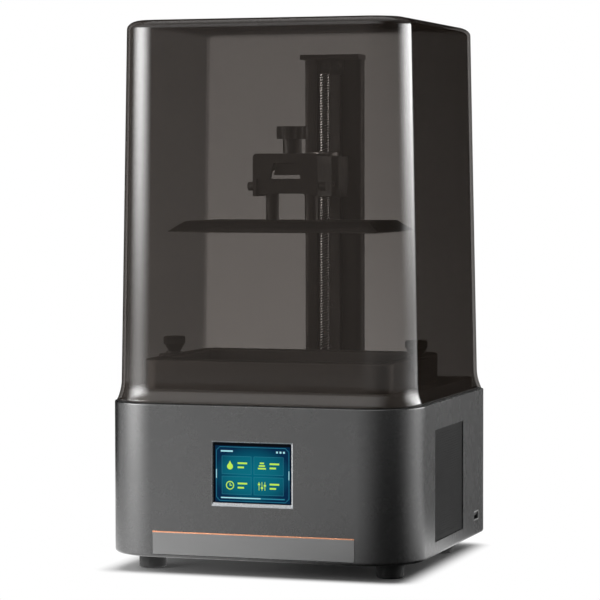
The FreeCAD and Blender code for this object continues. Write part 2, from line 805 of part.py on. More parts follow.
def light_engine():
    hood_width = f"{lcd_width} + 2 * hood_margin"
    hood_depth = f"{lcd_depth} + 2 * hood_margin"
    inner_width = f"{hood_width} - 2 * hood_wall"
    inner_depth = f"{hood_depth} - 2 * hood_wall"
    glass_z = f"({deck_under} + lcd_panel_height)"
    glass_height = f"{film_z} - fit_gap - {glass_z}"
    node(block("0", plate_y, glass_z, lcd_width, lcd_depth, glass_height), "lcd_glass")
    node(block("0", plate_y, deck_under, lcd_width, lcd_depth, "lcd_panel_height"), "lcd_panel")
    tall = f"{deck_under} - {light_board_top}"
    node(cut(
        block("0", plate_y, light_board_top, hood_width, hood_depth, tall),
        block("0", plate_y, light_board_top, inner_width, inner_depth, tall),
    ), "light_hood")
    lens_width = f"{inner_width} - 2 * slide_gap"
    lens_depth = f"{inner_depth} - 2 * slide_gap"
    node(cut(
        block("0", plate_y, light_board_top, lens_width, lens_depth, "lens_height"),
        block("0", plate_y, light_board_top, f"{lens_width} - 2 * lens_wall", f"{lens_depth} - 2 * lens_wall",
              "lens_height - lens_wall"),
    ), "lens_array")
    node(block("0", plate_y, heat_sink_top, hood_width, hood_depth, "board_thickness"), "light_board")
    count = int(sizes["fin_count"])
    fin_step = f"(({lcd_width} - fin_thickness) / (fin_count - 1))"
    fins = [
        block(f"{fin_step} * {i - (count - 1) / 2}", plate_y, floor_top,
              "fin_thickness", lcd_depth, "heat_sink_height")
        for i in range(count)
    ]
    slab_z = f"{heat_sink_top} - heat_sink_base"
    slab = block("0", plate_y, slab_z, lcd_width, lcd_depth, "heat_sink_base")
    node(fused(slab, *fins), "heat_sink")


def front_screen():
    made = body("display_bezel")
    frame = sketch(made, "XZ_Plane", "0", screen_z, rear_y)
    rectangle(frame, "screen_width", "screen_height")
    pad(made, frame, "bezel_depth", reverse=True)
    pane_height = "screen_height - bezel_top - bezel_bottom"
    window(made, "XZ_Plane", "0", f"{screen_z} + (bezel_bottom - bezel_top) / 2", rear_y,
           "screen_width - 2 * bezel_side", pane_height, "bezel_depth")
    inner = "screen_width / 2 - bezel_side"
    bevel_edges(made, "bezel_bevel", lambda box: at(box.YMin, f"-{rear_y}") and at(box.YMax, f"-{rear_y}")
                and max(-box.XMin, box.XMax) < value(inner) + 0.001)
    node(made, "display_bezel")
    pane_y = f"bezel_depth + display_thickness / 2 - {rear_y}"
    pane_z = f"{screen_z} - screen_height / 2 + fit_gap"
    node(block("0", pane_y, pane_z, "screen_width - 2 * fit_gap", "display_thickness",
               "screen_height - 2 * fit_gap"), "touch_display")
    board_y = f"bezel_depth + display_thickness + board_thickness / 2 - {rear_y}"
    node(block("0", board_y, f"{screen_z} - screen_height / 2 - display_board_margin",
               "screen_width + 2 * display_board_margin", "board_thickness",
               "screen_height + 2 * display_board_margin"), "display_board")


def outer_trim():
    strip_y = f"strip_thickness / 2 - {rear_y}"
    node(block("0", strip_y, strip_z, "strip_width", "strip_thickness", "strip_height"), "front_strip")
    node(block("0", strip_y, f"{strip_z} + strip_height", "strip_width", "strip_thickness", "accent_height"),
         "accent_line")
    vent_x = f"{right_x} - vent_rebate + vent_thickness / 2"
    node(block(vent_x, "vent_center", f"{vent_z} - vent_height / 2",
               "vent_thickness", "vent_width", "vent_height"), "side_vent_panel")


def boards_and_socket():
    node(block(main_board_x, main_board_y, board_z,
               "main_board_width", "main_board_depth", "board_thickness"), "main_board")
    socket_x = f"({right_x} - fit_gap - usb_length / 2)"
    mouth_x = f"({right_x} - fit_gap - usb_cavity / 2)"
    inner_width = "usb_width - 2 * usb_wall"
    shell = cut(
        block(socket_x, usb_y, board_top, "usb_length", "usb_width", "usb_height"),
        block(mouth_x, usb_y, f"{board_top} + usb_wall",
              "usb_cavity", inner_width, "usb_height - 2 * usb_wall"),
    )
    tongue = block(f"{mouth_x} - usb_wall", usb_y, f"{usb_z} + fit_gap",
                   "usb_cavity", f"{inner_width} - 2 * usb_wall", "usb_tongue")
    node(fused(shell, tongue), "usb_socket")


def rear_inlet():
    low_z = f"{inlet_z} - {inlet_height} / 2"
    tray_y = f"({rear_y} - inlet_depth / 2)"
    hollow_width = "inlet_width - 2 * inlet_wall"
    hollow_height = f"{inlet_height} - 2 * inlet_wall"
    jack_hole = rod(jack_x, inlet_floor_y, inlet_z, "jack_barrel + 2 * fit_gap", "inlet_wall", turn_to_y)
    switch_hole = block(switch_x, f"{inlet_floor_y} + inlet_wall / 2",
                        f"{inlet_z} - switch_height / 2 - fit_gap",
                        "switch_width + 2 * fit_gap", "inlet_wall", "switch_height + 2 * fit_gap")
    node(cut(
        block(inlet_x, tray_y, low_z, "inlet_width", "inlet_depth", inlet_height),
        block(inlet_x, f"{tray_y} + inlet_wall", f"{low_z} + inlet_wall", hollow_width, "inlet_depth",
              hollow_height),
        jack_hole,
        switch_hole,
    ), "inlet_tray")

    seat_y = f"({inlet_floor_y} + inlet_wall)"
    barrel_length = "(jack_length + inlet_wall)"
    barrel_y = f"({seat_y} - {barrel_length})"
    jack = fused(
        rod(jack_x, seat_y, inlet_z, "jack_diameter", "jack_flange", turn_to_y),
        rod(jack_x, barrel_y, inlet_z, "jack_barrel", barrel_length, turn_to_y),
    )
    bore_y = f"{seat_y} + jack_flange - jack_length"
    bore = rod(jack_x, bore_y, inlet_z, "jack_hole", "jack_length", turn_to_y)
    pin = rod(jack_x, barrel_y, inlet_z, "jack_pin", barrel_length, turn_to_y)
    node(fused(cut(jack, bore), pin), "power_jack")

    flange_width = "switch_width + 2 * switch_flange_margin"
    case_y = f"({seat_y} - switch_depth / 2)"
    case = fused(
        block(switch_x, case_y, f"{inlet_z} - switch_height / 2",
              "switch_width", "switch_depth", "switch_height"),
        block(switch_x, f"{seat_y} + switch_flange / 2", f"{inlet_z} - {switch_flange_height} / 2",
              flange_width, "switch_flange", switch_flange_height),
    )
    well_width = "(switch_width - 2 * switch_wall)"
    well_height = "(switch_height - 2 * switch_wall)"
    well = block(switch_x, f"{case_y} + switch_wall + switch_flange / 2", f"{inlet_z} - {well_height} / 2",
                 well_width, "switch_depth + switch_flange", well_height)
    pin_length = "(switch_width - switch_wall)"
    pivot_y = f"({seat_y} - fit_gap)"
    axle_hole = rod(f"{switch_x} - {pin_length} / 2", pivot_y, inlet_z,
                    "rocker_pin + 2 * run_gap", pin_length, turn_to_x)
    node(cut(case, well, axle_hole), "switch_housing")

    rocker_height = f"({well_height} - 2 * rocker_end_gap)"
    paddle = doc.addObject("Part::Box", "Paddle")
    bind(paddle, "Length", f"{well_width} - 2 * slide_gap")
    bind(paddle, "Width", "rocker_thickness")
    bind(paddle, "Height", rocker_height)
    place(paddle, f"slide_gap - {well_width} / 2", "-rocker_thickness / 2", f"-{rocker_height} / 2")
    axle = rod(f"slide_gap - {pin_length} / 2", "0", "0",
               "rocker_pin", f"{pin_length} - 2 * slide_gap", turn_to_x)
    rocker = fused(paddle, axle)
    rocker.Placement = Placement(Vector(), Rotation(Vector(1, 0, 0), sizes["rocker_tilt"]))
    place(rocker, switch_x, pivot_y, inlet_z)
    node(rocker, "switch_rocker")


def rear_fan():
    count = int(sizes["grille_slots"])
    grille_y = f"({rear_y} - grille_thickness / 2)"
    clear = "(grille_side - 2 * grille_border)"
    slot_step = f"(({clear} - grille_slot_height) / (grille_slots - 1))"
    slots = [
        block(fan_x, grille_y, f"{fan_z} + {slot_step} * {i - (count - 1) / 2} - grille_slot_height / 2",
              clear, "grille_thickness", "grille_slot_height")
        for i in range(count)
    ]
    plate = block(fan_x, grille_y, f"{fan_z} - grille_side / 2",
                  "grille_side", "grille_thickness", "grille_side")
    node(cut(plate, *slots), "rear_grille")

    back_y = f"({fan_front_y} - fan_depth)"
    frame = cut(
        block(fan_x, f"{fan_front_y} - fan_depth / 2", f"{fan_z} - fan_side / 2",
              "fan_side", "fan_depth", "fan_side"),
        rod(fan_x, back_y, fan_z, fan_bore, "fan_depth", turn_to_y),
    )
    spokes = []
    for number in range(3):
        spoke = doc.addObject("Part::Box", "Spoke")
        bind(spoke, "Length", "fan_side / 2")
        bind(spoke, "Width", "fan_back")
        bind(spoke, "Height", "fan_pin")
        spoke.Placement = Placement(Vector(), Rotation(Vector(0, 1, 0), 120 * number))
        place(spoke, fan_x, back_y, fan_z)
        spokes.append(spoke)
    hub = rod(fan_x, back_y, fan_z, "fan_hub", "fan_back", turn_to_y)
    pin = rod(fan_x, back_y, fan_z, "fan_pin", "fan_depth - fan_back", turn_to_y)
    node(fused(frame, hub, pin, *spokes), "fan_frame")

    rotor_y = f"({back_y} + fan_back + slide_gap)"
    rotor_depth = "(fan_depth - fan_back - 2 * slide_gap)"
    blades = []
    for number in range(int(sizes["fan_blades"])):
        blade = doc.addObject("Part::Box", "Blade")
        bind(blade, "Length", f"({fan_bore} - fan_hub) / 2")
        bind(blade, "Width", "fan_blade_chord")
        bind(blade, "Height", "fan_blade_thickness")
        place(blade, "fan_hub / 2 - 2 * slide_gap", "-fan_blade_chord / 2", "-fan_blade_thickness / 2")
        pitched = group([blade])
        pitched.Placement = Placement(Vector(), Rotation(Vector(1, 0, 0), sizes["fan_blade_pitch"]))
        turned = group([pitched])
        turned.Placement = Placement(Vector(), Rotation(Vector(0, 1, 0), 360 * number / sizes["fan_blades"]))
        place(turned, fan_x, f"{rotor_y} + {rotor_depth} / 2", fan_z)
        blades.append(turned)
    drum = rod(fan_x, rotor_y, fan_z, "fan_hub", rotor_depth, turn_to_y)
    axle_bore = rod(fan_x, rotor_y, fan_z, "fan_pin + 2 * run_gap", rotor_depth, turn_to_y)
    node(cut(fused(drum, *blades), axle_bore), "fan_rotor")


def motor_and_screw():
    motor_z = f"({deck_under} - motor_height)"
    screw_z = f"({motor_z} + motor_floor)"
    seat = f"({deck_top} - deck_screw_head_height)"
    screw_holes = [
        rod(x, y, f"{seat} - motor_screw_length", "motor_screw_shank + 2 * fit_gap", "motor_screw_length")
        for x, y in motor_screw_spots
    ]
    node(cut(
        block("0", screw_y, motor_z, "motor_side", "motor_side", "motor_height"),
        rod("0", screw_y, screw_z, "screw_diameter + 2 * run_gap", "motor_height - motor_floor"),
        *screw_holes,
    ), "stepper_motor")
    node(group(screw(x, y, seat, "motor_screw_head", "deck_screw_head_height", "motor_screw_shank",
                     "motor_screw_length") for x, y in motor_screw_spots), "motor_screws")
    screw_length = f"{column_top} - screw_top_drop - {screw_z}"
    node(rod("0", screw_y, screw_z, "screw_diameter", screw_length), "lead_screw")


def column():
    made = body("z_column")
    plan = sketch(made, "XY_Plane", "0", "0", deck_top)
    half, groove = "column_width / 2", "column_channel_width / 2"
    back = f"{column_y} + column_depth"
    polygon(plan, [
        (f"-{half}", column_y), (f"-{groove}", column_y), (f"-{groove}", channel_y), (groove, channel_y),
        (groove, column_y), (half, column_y), (half, back), (f"-{half}", back),
    ])
    pad(made, plan, "column_height")
    round_edges(made, "column_edge_radius", lambda box: box.ZLength > 1 and at(box.YMin, column_y)
                and at(abs(box.XMin), half))
    holes(made, column_screw_spots, "column_screw_shank + 2 * fit_gap", f"{deck_top} + column_screw_length",
          "column_screw_length")
    front = sketch(made, "XZ_Plane", "0", "0", f"-{channel_y}")
    for x in cap_screw_spots:
        circle(front, "cap_screw_shank + 2 * fit_gap", x, f"{column_top} - cap_screw_drop")
    for z in rail_screw_heights:
        circle(front, "rail_screw_shank + 2 * fit_gap", "0", z)
    pocket(made, front, "cap_screw_length")
    node(made, "z_column")
    node(group(screw(x, y, deck_under, "column_screw_head", "deck_screw_head_height", "column_screw_shank",
                     "column_screw_length", up=-1) for x, y in column_screw_spots), "column_screws")


def column_cap():
    cap_depth = "(column_depth + cap_overhang)"
    tab_y = f"({channel_y} - cap_tab_thickness)"
    plate = block("0", f"{column_y} + column_depth - {cap_depth} / 2", column_top,
                  "column_width + 2 * cap_margin", cap_depth, "cap_height")
    tab = block("0", f"{tab_y} + cap_tab_thickness / 2", f"{column_top} - cap_tab_height", "cap_tab_width",
                "cap_tab_thickness", "cap_tab_height")
    screw_z = f"{column_top} - cap_screw_drop"
    bores = [rod(x, tab_y, screw_z, "cap_screw_shank + 2 * fit_gap", "cap_tab_thickness", turn_to_y)
             for x in cap_screw_spots]
    node(cut(fused(plate, tab), *bores), "column_cap")
    screws = [front_screw(x, tab_y, screw_z, "cap_screw_head", "cap_screw_head_height",
                          "cap_screw_shank", "cap_screw_length") for x in cap_screw_spots]
    node(group(screws), "cap_screws")


def rail_and_sensor():
    length = f"({rail_top} - {rail_bottom})"
    bar = block("0", f"{column_y} + column_channel_depth / 2", rail_bottom,
                "rail_width", "column_channel_depth", length)
    sink = "rail_screw_head + 2 * fit_gap"
    bore = "rail_screw_shank + 2 * fit_gap"
    seat = f"({column_y} + rail_screw_sink)"
    shank_length = "(column_channel_depth - rail_screw_sink + rail_screw_depth)"
    wells, screws = [], []
    for z in rail_screw_heights:
        wells.append(rod("0", column_y, z, sink, "rail_screw_sink", turn_to_y))
        wells.append(rod("0", column_y, z, bore, "column_channel_depth", turn_to_y))
        screws.append(front_screw("0", seat, z, "rail_screw_head", "rail_screw_head_height",
                                  "rail_screw_shank", shank_length))
    node(cut(bar, *wells), "linear_rail")
    node(group(screws), "rail_screws")

    sensor_x = "(-carriage_width / 2 - flag_thickness / 2)"
    sensor_z = f"({deck_top} + sensor_lift)"
    node(cut(
        block(sensor_x, f"{column_y} - sensor_depth / 2", sensor_z,
              "sensor_width", "sensor_depth", "sensor_height"),
        block(sensor_x, f"{column_y} - sensor_depth + sensor_slot_depth / 2", sensor_z, "sensor_slot",
              "sensor_slot_depth", "sensor_height"),
    ), "limit_sensor")


def vat():
    made = body("vat")
    profile = sketch(made, "XY_Plane", "0", vat_y, deck_top)
    rectangle(profile, vat_width, vat_depth)
    pad(made, profile, "vat_height")
    round_edges(made, "vat_corner_radius", lambda box: box.ZLength > 1 and box.XLength < 0.01)
    ears = sketch(made, "XY_Plane", "0", vat_y, f"{vat_top} - ear_height")
    rectangle(ears, f"{vat_width} + 2 * ear_reach", "ear_length")
    pad(made, ears, "ear_height")
    round_edges(made, "ear_reach / 2", lambda box: box.ZLength > 1 and at(box.ZMin, f"{vat_top} - ear_height")
                and at(max(-box.XMin, box.XMax), f"{vat_width} / 2 + ear_reach"))
    cavity = sketch(made, "XY_Plane", "0", vat_y, vat_top)
    cavity_width = "plate_width + 2 * plate_side_margin"
    cavity_depth = "plate_depth + plate_front_margin + plate_rear_margin"
    rectangle(cavity, cavity_width, cavity_depth)
    pocket(made, cavity, "vat_height")
    inner_x = f"({cavity_width}) / 2"
    round_edges(made, "vat_cavity_radius", lambda box: box.ZLength > 1 and box.XLength < 0.01
                and at(max(-box.XMin, box.XMax), inner_x))
    round_edges(made, "vat_edge_radius", level(vat_top))
    window(made, "XY_Plane", "0", vat_y, deck_top, f"{cavity_width} + 2 * frame_border + 2 * fit_gap",
           f"{cavity_depth} + 2 * frame_border + 2 * fit_gap", "frame_height + film_thickness", reverse=True)
    thumb_spots = [(thumb_x, vat_y), (f"-{thumb_x}", vat_y)]
    holes(made, thumb_spots, "thumb_shank + 2 * slide_gap", vat_top, "vat_height")
    node(made, "vat")
    frame_width = f"{cavity_width} + 2 * frame_border"
    frame_depth = f"{cavity_depth} + 2 * frame_border"
    node(block("0", vat_y, film_z, frame_width, frame_depth, "film_thickness"), "vat_film")
    node(cut(
        block("0", vat_y, deck_top, frame_width, frame_depth, "frame_height"),
        block("0", vat_y, deck_top, cavity_width, cavity_depth, "frame_height"),
    ), "film_frame")


def thumb_screws():
    tip_z = f"({base_top} + thumb_tip_gap)"
    for side, name in ((f"-{thumb_x}", "left"), (thumb_x, "right")):
        node(cut(
            rod(side, vat_y, vat_top, "washer_diameter", "washer_height"),
            rod(side, vat_y, vat_top, "thumb_shank + 2 * run_gap", "washer_height"),
        ), f"washer_{name}")
        foot_z = f"({vat_top} + washer_height)"
        grip_z = f"({foot_z} + thumb_foot_height)"
        node(fused(
            taper(side, vat_y, foot_z, "thumb_foot_diameter", "thumb_diameter", "thumb_foot_height"),
            rod(side, vat_y, grip_z, "thumb_diameter", "thumb_grip_height"),
            rod(side, vat_y, tip_z, "thumb_shank", f"{foot_z} - {tip_z}"),
        ), f"vat_screw_{name}")


def carriage():
    deep = f"({rail_block_y} - {carriage_y})"
    made = body("carriage_block")
    front = sketch(made, "XZ_Plane", "0", "0", f"-{carriage_y}")
    half = "carriage_width / 2"
    slope = "carriage_chamfer"
    polygon(front, [
        (f"{slope} - {half}", carriage_z), (f"{half} - {slope}", carriage_z),
        (half, f"{carriage_z} + 2 * {slope}"), (half, carriage_top),
        (f"-{half}", carriage_top), (f"-{half}", f"{carriage_z} + 2 * {slope}"),
    ])
    pad(made, front, deep, reverse=True)
    holes(made, [("0", screw_y)], "nut_body + 2 * fit_gap", carriage_top, f"{carriage_top} - {carriage_z}")
    bolts = sketch(made, "XZ_Plane", "0", carriage_bolt_z, f"-{carriage_y}")
    for x in carriage_bolt_spots:
        circle(bolts, "carriage_bolt_shank + 2 * fit_gap", x)
    pocket(made, bolts, "carriage_bolt_length")
    node(made, "carriage_block")

    node(group(front_screw(x, carriage_y, carriage_bolt_z, "carriage_bolt_head", "carriage_bolt_head_height",
                           "carriage_bolt_shank", "carriage_bolt_length") for x in carriage_bolt_spots),
         "carriage_bolts")

    arm = body("carriage_arm")
    profile = sketch(arm, "XZ_Plane", "0", "0", f"-{carriage_y}")
    lean = "((channel_base - channel_top) / 2 / channel_height)"
    top_half = "(channel_top / 2 - 2 * slide_gap)"
    foot_half = f"({top_half} + {lean} * arm_height)"
    polygon(profile, [
        (f"-{foot_half}", arm_z), (foot_half, arm_z), (top_half, arm_top), (f"-{top_half}", arm_top),
    ])
    pad(arm, profile, f"{carriage_y} - {plate_y} + arm_overhang")
    node(arm, "carriage_arm")

    grip = cut(
        block("0", f"({rail_block_y} + {channel_y} - rail_block_inset) / 2", carriage_z,
              "column_channel_width - 2 * rail_block_gap",
              f"{channel_y} - rail_block_inset - {rail_block_y}", f"{carriage_top} - {carriage_z}"),
        block("0", f"{column_y} - fit_gap + column_channel_depth / 2", carriage_z, "rail_width + 2 * fit_gap",
              "column_channel_depth", f"{carriage_top} - {carriage_z}"),
    )
    node(grip, "rail_block")

    nut = fused(
        rod("0", screw_y, carriage_top, "nut_flange", "nut_flange_height"),
        rod("0", screw_y, f"{carriage_top} - nut_length", "nut_body", "nut_length"),
    )
    node(cut(nut, rod("0", screw_y, f"{carriage_top} - nut_length", "screw_diameter + 2 * run_gap",
                      "nut_length + nut_flange_height")), "lead_nut")
    node(block("-carriage_width / 2 - flag_thickness / 2", f"{rail_block_y} - flag_depth / 2",
               f"{carriage_z} - flag_reach", "flag_thickness", "flag_depth", "flag_height"), "sensor_flag")


def platform():
    made = body("print_plate")
    levels = [("0", plate_z), ("0", f"{plate_z} + plate_edge"), ("plate_slope", post_z)]
    drawn = []
    for inset, z in levels:
        plan = sketch(made, "XY_Plane", "0", plate_y, z)
        rectangle(plan, f"plate_width - 2 * {inset}", f"plate_depth - 2 * {inset}")
        drawn.append(plan)
    loft(made, "Additive", drawn)
    node(made, "print_plate")
    post_spots = ["post_spacing / 2", "-post_spacing / 2"]
    node(group(rod(x, plate_y, post_z, "post_diameter", "post_length") for x in post_spots), "plate_posts")
    shank_hole = "side_bolt_shank + 2 * fit_gap"
    reach = f"(side_bolt_depth - ({head_width} - crossbar_width) / 2)"
    node(cut(
        block("0", head_y, crossbar_z, "crossbar_width", "crossbar_depth", "crossbar_height"),
        rod(f"crossbar_width / 2 - {reach}", side_bolt_y, side_bolt_z, shank_hole, reach, turn_to_x),
        rod("-crossbar_width / 2", side_bolt_y, side_bolt_z, shank_hole, reach, turn_to_x),
    ), "crossbar")
    bolts = []
    right = (f"{head_width} / 2", f"{head_width} / 2 - side_bolt_depth")
    left = (f"-{head_width} / 2 - side_bolt_head", f"-{head_width} / 2")
    for head_x, shank_x in (right, left):
        head = rod(head_x, side_bolt_y, side_bolt_z, "side_bolt_diameter", "side_bolt_head", turn_to_x)
        shank = rod(shank_x, side_bolt_y, side_bolt_z, "side_bolt_shank", "side_bolt_depth", turn_to_x)
        bolts.append(fused(head, shank))
    node(group(bolts), "side_bolts")


def clamp_head():
    made = body("clamp_head")
    low = f"({crossbar_z} - head_skirt)"
    middle = f"-({head_y}) + head_depth / 2"
    face = sketch(made, "XZ_Plane", "0", f"({low} + {head_top}) / 2", middle)
    rectangle(face, head_width, f"{head_top} - {low}")
    pad(made, face, "head_depth", reverse=True)
    round_edges(made, "head_corner_radius", lambda box: box.YLength > 1 and at(box.ZMin, head_top))
    mouth = sketch(made, "XZ_Plane", "0", "0", middle)
    bay = "(crossbar_width / 2 + fit_gap)"
    foot, top = "channel_base / 2", "channel_top / 2"
    polygon(mouth, [
        (f"-{bay}", low), (bay, low), (bay, channel_z), (foot, channel_z), (top, roof_z),
        (f"-{top}", roof_z), (f"-{foot}", channel_z), (f"-{bay}", channel_z),
    ])
    pocket(made, mouth, "head_depth")
    # hollow behind its front face, so that one sees through under the arm
    window(made, "XZ_Plane", "0", f"{channel_z} + hollow_height / 2", f"{middle} - head_face",
           f"2 * {bay}", "hollow_height", "head_depth - head_face")
    well = sketch(made, "XY_Plane", "0", head_y, roof_z)
    circle(well, "pad_diameter + 2 * slide_gap")
    pocket(made, well, "pad_height + pad_travel", reverse=True)
    holes(made, [("0", head_y)], "knob_shank + 2 * run_gap", head_top, "head_roof")
    sides = sketch(made, "YZ_Plane", side_bolt_y, side_bolt_z, f"{head_width} / 2")
    circle(sides, "side_bolt_shank + 2 * fit_gap")
    pocket(made, sides, head_width)
    node(made, "clamp_head")
    node(rod("0", head_y, arm_top, "pad_diameter", "pad_height"), "clamp_pad")


def clamp_knob():
    neck_z = f"({head_top} + slide_gap)"
    grip_z = f"({neck_z} + neck_height)"
    shank_z = f"({arm_top} + pad_height)"
    grip = rod("0", head_y, grip_z, "knob_diameter", "knob_height")
    ring = "(knob_diameter / 2 + knob_scallop_offset)"
    scallops = []
    for number in range(int(sizes["knob_lobes"])):
        angle = 360 * (number + 0.5) / sizes["knob_lobes"]
        scallops.append(rod(f"{ring} * cos({angle})", f"{head_y} + {ring} * sin({angle})", grip_z,
                            "knob_scallop", "knob_height"))
    node(fused(
        cut(grip, *scallops),
        rod("0", head_y, neck_z, "neck_diameter", "neck_height"),
        rod("0", head_y, shank_z, "knob_shank", f"{neck_z} - {shank_z}"),
    ), "clamp_knob")


for build in (
    base_housing, bottom_plate, feet, top_deck, cover_and_seal, light_engine, front_screen, outer_trim,
    boards_and_socket, rear_inlet, rear_fan, motor_and_screw, column, column_cap, rail_and_sensor, vat,
    thumb_screws, carriage, platform, clamp_head, clamp_knob,
):
    build()

doc.recompute()
faults = [o.Label for o in doc.Objects if {"Invalid", "Error"} & set(o.State)]
faults += [o.Label for o in nodes if o.Shape.isNull() or not o.Shape.isValid() or not o.Shape.Solids]
if faults:
    raise RuntimeError(f"failed pieces: {faults}")
os.makedirs("parts", exist_ok=True)
for piece in nodes:
    piece.Shape.exportStep(os.path.join("parts", f"{piece.Label}.step"))
print(len(nodes), "pieces written")
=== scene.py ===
import json
import math

import bmesh
import bpy
from mathutils import Matrix, Vector

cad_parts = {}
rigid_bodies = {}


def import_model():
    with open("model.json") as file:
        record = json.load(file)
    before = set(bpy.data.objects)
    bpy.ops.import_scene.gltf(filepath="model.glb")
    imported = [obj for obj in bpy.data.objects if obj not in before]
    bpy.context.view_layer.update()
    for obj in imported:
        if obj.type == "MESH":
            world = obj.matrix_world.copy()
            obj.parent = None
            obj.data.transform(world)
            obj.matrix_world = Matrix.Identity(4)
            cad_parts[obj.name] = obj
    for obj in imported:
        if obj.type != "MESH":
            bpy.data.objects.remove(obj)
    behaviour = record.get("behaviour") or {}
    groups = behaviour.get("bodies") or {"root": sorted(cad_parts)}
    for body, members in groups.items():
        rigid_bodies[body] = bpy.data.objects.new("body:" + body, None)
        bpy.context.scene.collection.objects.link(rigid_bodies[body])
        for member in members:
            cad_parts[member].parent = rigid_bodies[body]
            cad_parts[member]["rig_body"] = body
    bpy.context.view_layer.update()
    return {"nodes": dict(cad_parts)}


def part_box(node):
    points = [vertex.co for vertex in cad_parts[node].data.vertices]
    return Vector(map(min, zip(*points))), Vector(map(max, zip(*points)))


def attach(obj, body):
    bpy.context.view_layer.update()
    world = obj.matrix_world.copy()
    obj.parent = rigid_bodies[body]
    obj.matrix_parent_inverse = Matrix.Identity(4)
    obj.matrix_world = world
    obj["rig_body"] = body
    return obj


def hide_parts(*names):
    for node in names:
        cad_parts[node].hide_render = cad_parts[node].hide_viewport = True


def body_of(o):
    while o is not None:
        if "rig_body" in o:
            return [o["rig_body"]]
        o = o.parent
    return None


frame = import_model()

scene = bpy.context.scene
mm = 0.001
up = Vector((0, 0, 1))
weldGap = 0.001 * mm     # vertices this close are one
slack = 0.01 * mm        # and this close lie on the same line
edgeAngle = 40           # degrees, past which an edge is sharp
flatAngle = 0.2          # degrees, within which faces are one


class Wire:              # a node's output that sums like a number
    def __init__(self, finish, socket):
        self.finish = finish
        self.socket = socket

    def sum(self, operation, *terms):
        return self.finish.add("ShaderNodeMath", {"operation": operation}, dict(enumerate(terms)))

    def __add__(self, other):
        return self.sum("ADD", self, other)

    def __sub__(self, other):
        return self.sum("SUBTRACT", self, other)

    def __rsub__(self, other):
        return self.sum("SUBTRACT", other, self)

    def __mul__(self, other):
        return self.sum("MULTIPLY", self, other)

    def __truediv__(self, other):
        return self.sum("DIVIDE", self, other)

    def __pow__(self, other):
        return self.sum("POWER", self, other)

    def fraction(self):
        return self.sum("FRACT", self)

    def __abs__(self):
        return self.sum("ABSOLUTE", self)

    def __lt__(self, other):
        return self.sum("LESS_THAN", self, other)

    def __gt__(self, other):
        return self.sum("GREATER_THAN", self, other)

    def __or__(self, other):         # the larger of two, so either mask
        return self.sum("MAXIMUM", self, other)

    def __and__(self, other):        # the smaller of two, so both masks
        return self.sum("MINIMUM", self, other)

    __radd__ = __add__
    __rmul__ = __mul__


class Finish:            # a node tree being put together
    def __init__(self, tree):
        self.tree = tree

    def add(self, kind, settings=None, inputs=None, output=0):
        made = self.tree.nodes.new(kind)
        for key, value in (settings or {}).items():
            setattr(made, key, value)
        for key, value in (inputs or {}).items():
            self.feed(made.inputs[key], value)
        return Wire(self, made.outputs[output])

    def feed(self, socket, value):
        if isinstance(value, Wire):
            self.tree.links.new(value.socket, socket)
        else:
            socket.default_value = value

    def shade(self, **sockets):      # baseColor=... feeds the Base Color socket
        for key, value in sockets.items():
            words = "".join(" " + letter if letter.isupper() else letter for letter in key)
            self.feed(self.tree.nodes["Principled BSDF"].inputs[words.title().replace("Ior", "IOR")], value)

    def mixOver(self, under, share):                   # the surface laid over another shader, by a share
        top = Wire(self, self.tree.nodes["Principled BSDF"].outputs[0])
        self.surface(self.add("ShaderNodeMixShader", {}, {0: share, 1: under, 2: top}))

    def surface(self, shader):
        self.feed(self.tree.nodes["Material Output"].inputs["Surface"], shader)

    def rise(self, value, start, end):                 # a soft step from 0 at start to 1 at end
        return self.add("ShaderNodeMapRange", {"interpolation_type": "SMOOTHSTEP"},
                        {"Value": value, "From Min": start, "From Max": end})

    def blend(self, factor, first, second):
        return self.add("ShaderNodeMix", {"data_type": "RGBA"}, {0: factor, 6: first, 7: second}, output=2)

    def noise(self, place, size, detail=2.0):          # size of the spots in metres
        return self.add("ShaderNodeTexNoise", {}, {"Vector": place, "Scale": 1 / size, "Detail": detail})

    def bump(self, height, depth):
        return self.add("ShaderNodeBump", {}, {"Height": height, "Distance": depth, "Strength": 1.0})

    def objectPlace(self, stretch=None):
        place = self.add("ShaderNodeTexCoord", output="Object")
        if stretch:
            place = self.add("ShaderNodeMapping", {}, {"Vector": place, "Scale": stretch})
        return place

    def objectAxis(self, axis):
        return self.add("ShaderNodeSeparateXYZ", {}, {0: self.objectPlace()}, output=axis)


def newFinish(name):
    material = bpy.data.materials.new(name)
    material.use_nodes = True
    return material, Finish(material.node_tree)


def grey(level):
    return (level, level, level, 1.0)


def tint(colour, share):
    return tuple(channel * share for channel in colour) + (1.0,)


